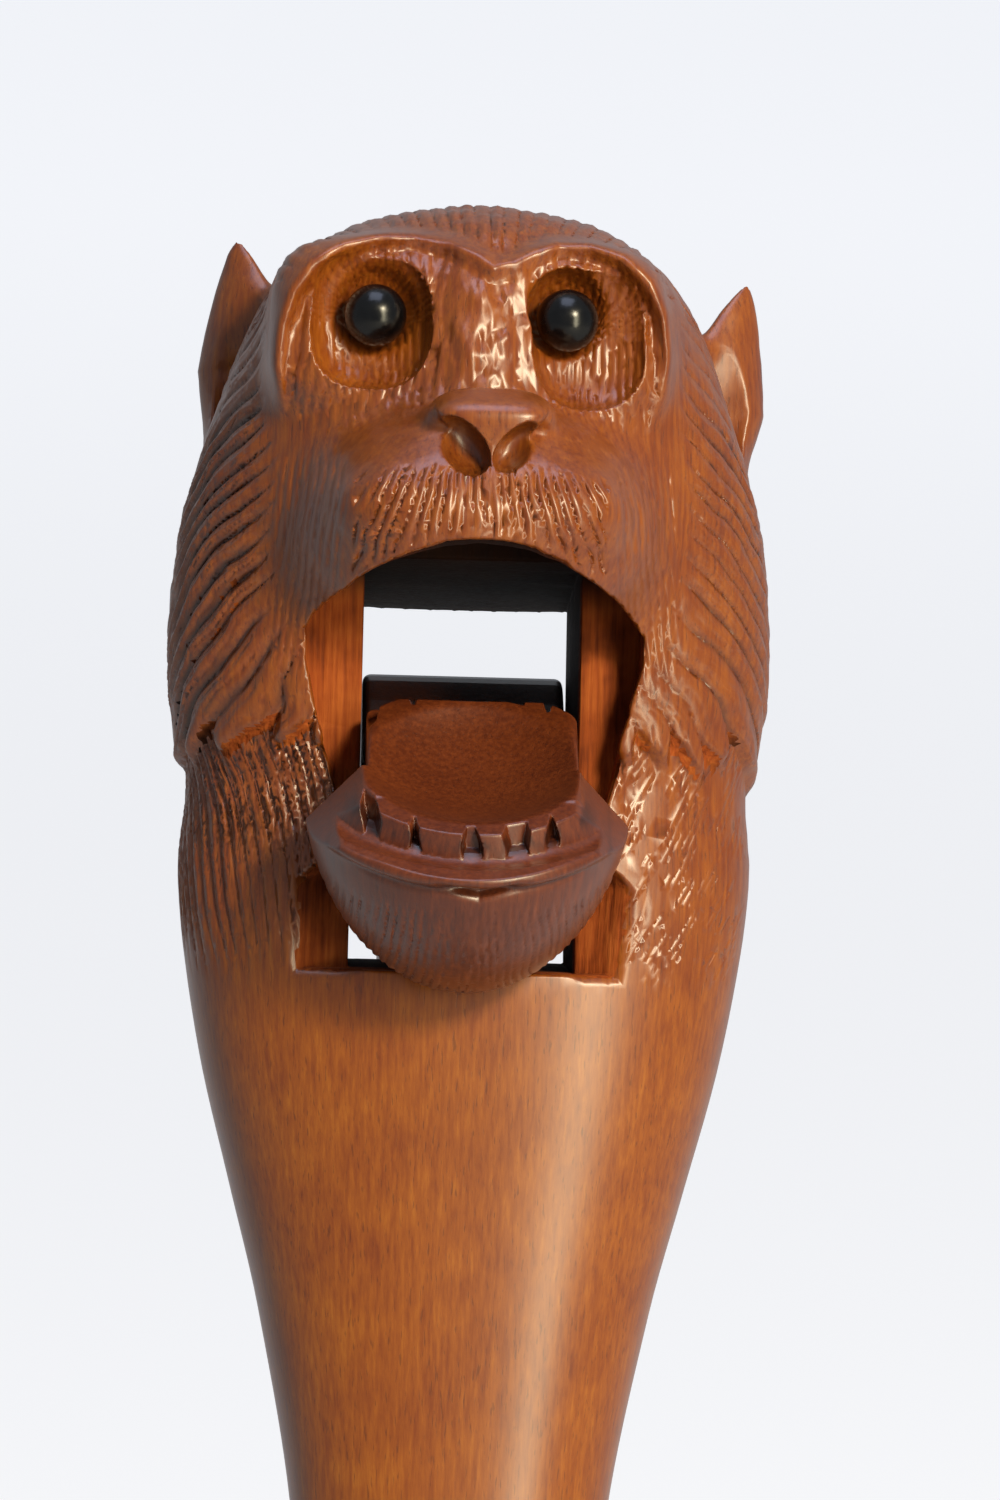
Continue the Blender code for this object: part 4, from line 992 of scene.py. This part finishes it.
HEAD_TINTS = ("#552008", "#77380D", "#8F4D12", "#AA691F")
JAW_TINTS = ("#3E170A", "#582610", "#703516", "#8E4A20")
PLUG_TINTS = ("#2E150B", "#45200F", "#552A14", "#6A3A1C")
head_wood = stained_wood("varnished_carved_hardwood", LEAN, HEAD_TINTS, 1.0, 3.2)
jaw_wood = stained_wood("varnished_jaw_hardwood", LEAN - OPEN_PITCH, JAW_TINTS, 0.9, 3.2)
plug_wood = stained_wood("end_grain_plug", 0, PLUG_TINTS, 0.1, 1.6)
slot_wood = sawn_wood(LEAN)
glass = black_glass()
steel = drawn_steel()


# ---- the pieces


def foot_under(tilt):
    """Gives the height at which each point of a ring meets the ground, in the frame of a lever tilted so."""
    return lambda ring: (ring[:, 1] * math.sin(tilt) - PIVOT[2]) / math.cos(tilt)


def with_handle(top, blank, height):
    """The carved top's distance above that height, and the plain blank's below."""
    return lambda x, y, z: np.where(z > height, top(x, y, np.maximum(z, height)), blank.distance(x, y, z))


whole_head = with_handle(head_distance, FRONT_BLANK, HEAD_CUT)
whole_jaw = with_handle(jaw_distance, REAR_BLANK, JAW_CUT)
head = carve_top(
    "carved_front_lever", head_distance, head_outside, head_strokes, (-27, -38, HEAD_CUT - 3), (27, 18, 52.5),
    HEAD_TRIANGLES, head_wood,
)
add_handle(head, FRONT_BLANK, HEAD_CUT, foot_under(LEAN), 96, 1.8)
finish_lever(head, whole_head, head_outside, head_strokes, head_painted_shade, HEAD_PLACE, [head_wood, slot_wood])

jaw = carve_top(
    "carved_jaw_lever", jaw_distance, jaw_distance, jaw_strokes, (-14.5, -38, JAW_CUT - 3), (14.5, 22.5, 20.5),
    JAW_TRIANGLES, jaw_wood,
)
add_handle(jaw, REAR_BLANK, JAW_CUT, foot_under(LEAN - OPEN_PITCH), 64, 2.4)
finish_lever(jaw, whole_jaw, jaw_distance, jaw_strokes, jaw_painted_shade, JAW_PLACE, [jaw_wood])


def spun(name, profile, place, sides, material):
    """A piece turned about Y from (distance along y, radius) pairs; both ends close on the axis."""
    shape = bmesh.new()
    rows = []
    for along, radius in profile:
        if radius == 0:
            rows.append([shape.verts.new((0, along, 0))])
            continue
        turns = [math.tau * k / sides for k in range(sides)]
        rows.append([shape.verts.new((radius * math.cos(t), along, radius * math.sin(t))) for t in turns])
    for a, b in zip(rows, rows[1:]):
        for k in range(sides):
            corners = [a[k % len(a)], b[k % len(b)], b[(k + 1) % len(b)], a[(k + 1) % len(a)]]
            kept = [c for n, c in enumerate(corners) if c not in corners[:n]]
            shape.faces.new(kept)
    bmesh.ops.recalc_face_normals(shape, faces=shape.faces)
    mesh = bpy.data.meshes.new(name)
    shape.to_mesh(mesh)
    shape.free()
    mesh.shade_smooth()
    mesh.transform(place)
    mesh.materials.append(material)
    return new_object(name, mesh)


def bead_profile(radius):
    """A pressed glass eye: round in front, with a small flat and a dimple where the wire goes in."""
    profile = [(-radius * math.cos(math.radians(a)), radius * math.sin(math.radians(a))) for a in range(0, 160, 5)]
    profile += [(radius * 0.96, radius * 0.3), (radius * 0.94, radius * 0.22), (radius * 0.9, 0.0)]
    profile[0] = (-radius, 0.0)
    return profile


for side, bead in BEADS.items():
    made = spun(f"{side}_glass_eye", bead_profile(BEAD_RADIUS), HEAD_PLACE @ Matrix.Translation(bead), 48, glass)
    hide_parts(f"{side}_eye_bead")
    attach(made, "head")

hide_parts("head_lever")
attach(head, "head")
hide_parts("jaw_lever")
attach(jaw, "jaw")

for name, finish in (
    ("hinge_pin", steel), ("left_eye_shank", steel), ("right_eye_shank", steel), ("left_pin_plug", plug_wood),
    ("right_pin_plug", plug_wood),
):
    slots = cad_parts[name].material_slots
    for slot in slots:
        slot.material = finish
    if not slots:
        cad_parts[name].data.materials.append(finish)


# ---- floor, light and camera


def seen_directly(tree):
    """1 for rays of the camera and of glass, so that they see a white background. A shine shows less of it."""
    seen = node(tree, "ShaderNodeLightPath").outputs
    shine = maths(tree, "MULTIPLY", seen["Is Glossy Ray"], 0.35)
    return maths(tree, "MAXIMUM", maths(tree, "MAXIMUM", seen["Is Camera Ray"], shine), seen["Is Transmission Ray"])


def add_floor():
    """A pale floor. Far from the lamps it is dim, so what the camera sees of it is brightened there."""
    mesh = bpy.data.meshes.new("floor")
    sides, far = 64, 6.0
    rim = [(far * math.cos(math.tau * k / sides), far * math.sin(math.tau * k / sides), 0) for k in range(sides)]
    mesh.from_pydata(rim, [], [list(range(sides))])
    floor = new_object("floor", mesh)
    made, tree, shader = new_material("pale_floor")
    shader.inputs["Base Color"].default_value = colour("#A9ABAF")
    shader.inputs["Roughness"].default_value = 0.9
    shader.inputs["Emission Color"].default_value = colour("#F3F5FA")
    spot = node(tree, "ShaderNodeTexCoord").outputs["Object"]
    away = node(tree, "ShaderNodeVectorMath", {0: spot}, operation="LENGTH").outputs["Value"]
    far_off = ranged(tree, away, 0.2, 1.4, 0.72, 0.9, "SMOOTHSTEP")
    strength = maths(tree, "MULTIPLY", seen_directly(tree), far_off)
    tree.links.new(strength, shader.inputs["Emission Strength"])
    mesh.materials.append(made)


def add_world():
    world = bpy.data.worlds.new("studio")
    bpy.context.scene.world = world
    world.use_nodes = True
    tree = world.node_tree
    strength = ranged(tree, seen_directly(tree), 0.0, 1.0, 0.1, 0.95)
    back = tree.nodes["Background"]
    back.inputs["Color"].default_value = colour("#EAF0F8")
    tree.links.new(strength, back.inputs["Strength"])


def aimed(name, data, azimuth, elevation, far, aim, roll=0.0):
    """A lamp or camera that looks at a place from afar. Azimuth 0 is the photographer's side and 90 the right."""
    a, e = math.radians(azimuth), math.radians(elevation)
    away = Vector((math.sin(a) * math.cos(e), -math.cos(a) * math.cos(e), math.sin(e)))
    made = new_object(name, data)
    turn = away.to_track_quat("Z", "Y").to_matrix().to_4x4() @ Matrix.Rotation(math.radians(roll), 4, "Z")
    made.matrix_world = Matrix.Translation(Vector(aim) + away * far) @ turn
    return made


def add_lamp(name, azimuth, elevation, far, wide, tall, power, tint):
    """A soft oblong lamp aimed at the head."""
    lamp = bpy.data.lights.new(name, "AREA")
    lamp.shape = "RECTANGLE"
    lamp.size, lamp.size_y = wide, tall
    lamp.energy = power
    lamp.color = colour(tint)[:3]
    aimed(name, lamp, azimuth, elevation, far, (0, 0, 0.15))


def add_camera():
    """The lens is set by the height that it sees at the aim, 0.12577 m."""
    lens = bpy.data.cameras.new("camera")
    lens.sensor_fit = "VERTICAL"
    lens.sensor_height = 36
    lens.lens = 36 * 0.65 / 0.12577
    lens.clip_start = 0.01
    bpy.context.scene.camera = aimed("camera", lens, -1.926, 12.159, 0.65, (0.00303, 0, 0.14476), 1.914)


add_floor()
add_world()
add_lamp("key", 31, 34, 0.9, 0.15, 0.15, 8.0, "#FFEFCB")
add_lamp("window", 30, 9, 0.9, 0.19, 0.6, 4.8, "#FFF3CC")
add_lamp("overhead", -10, 84, 0.75, 0.45, 0.45, 2.4, "#D4E0FF")
add_camera()
bpy.context.scene.view_settings.view_transform = "Standard"
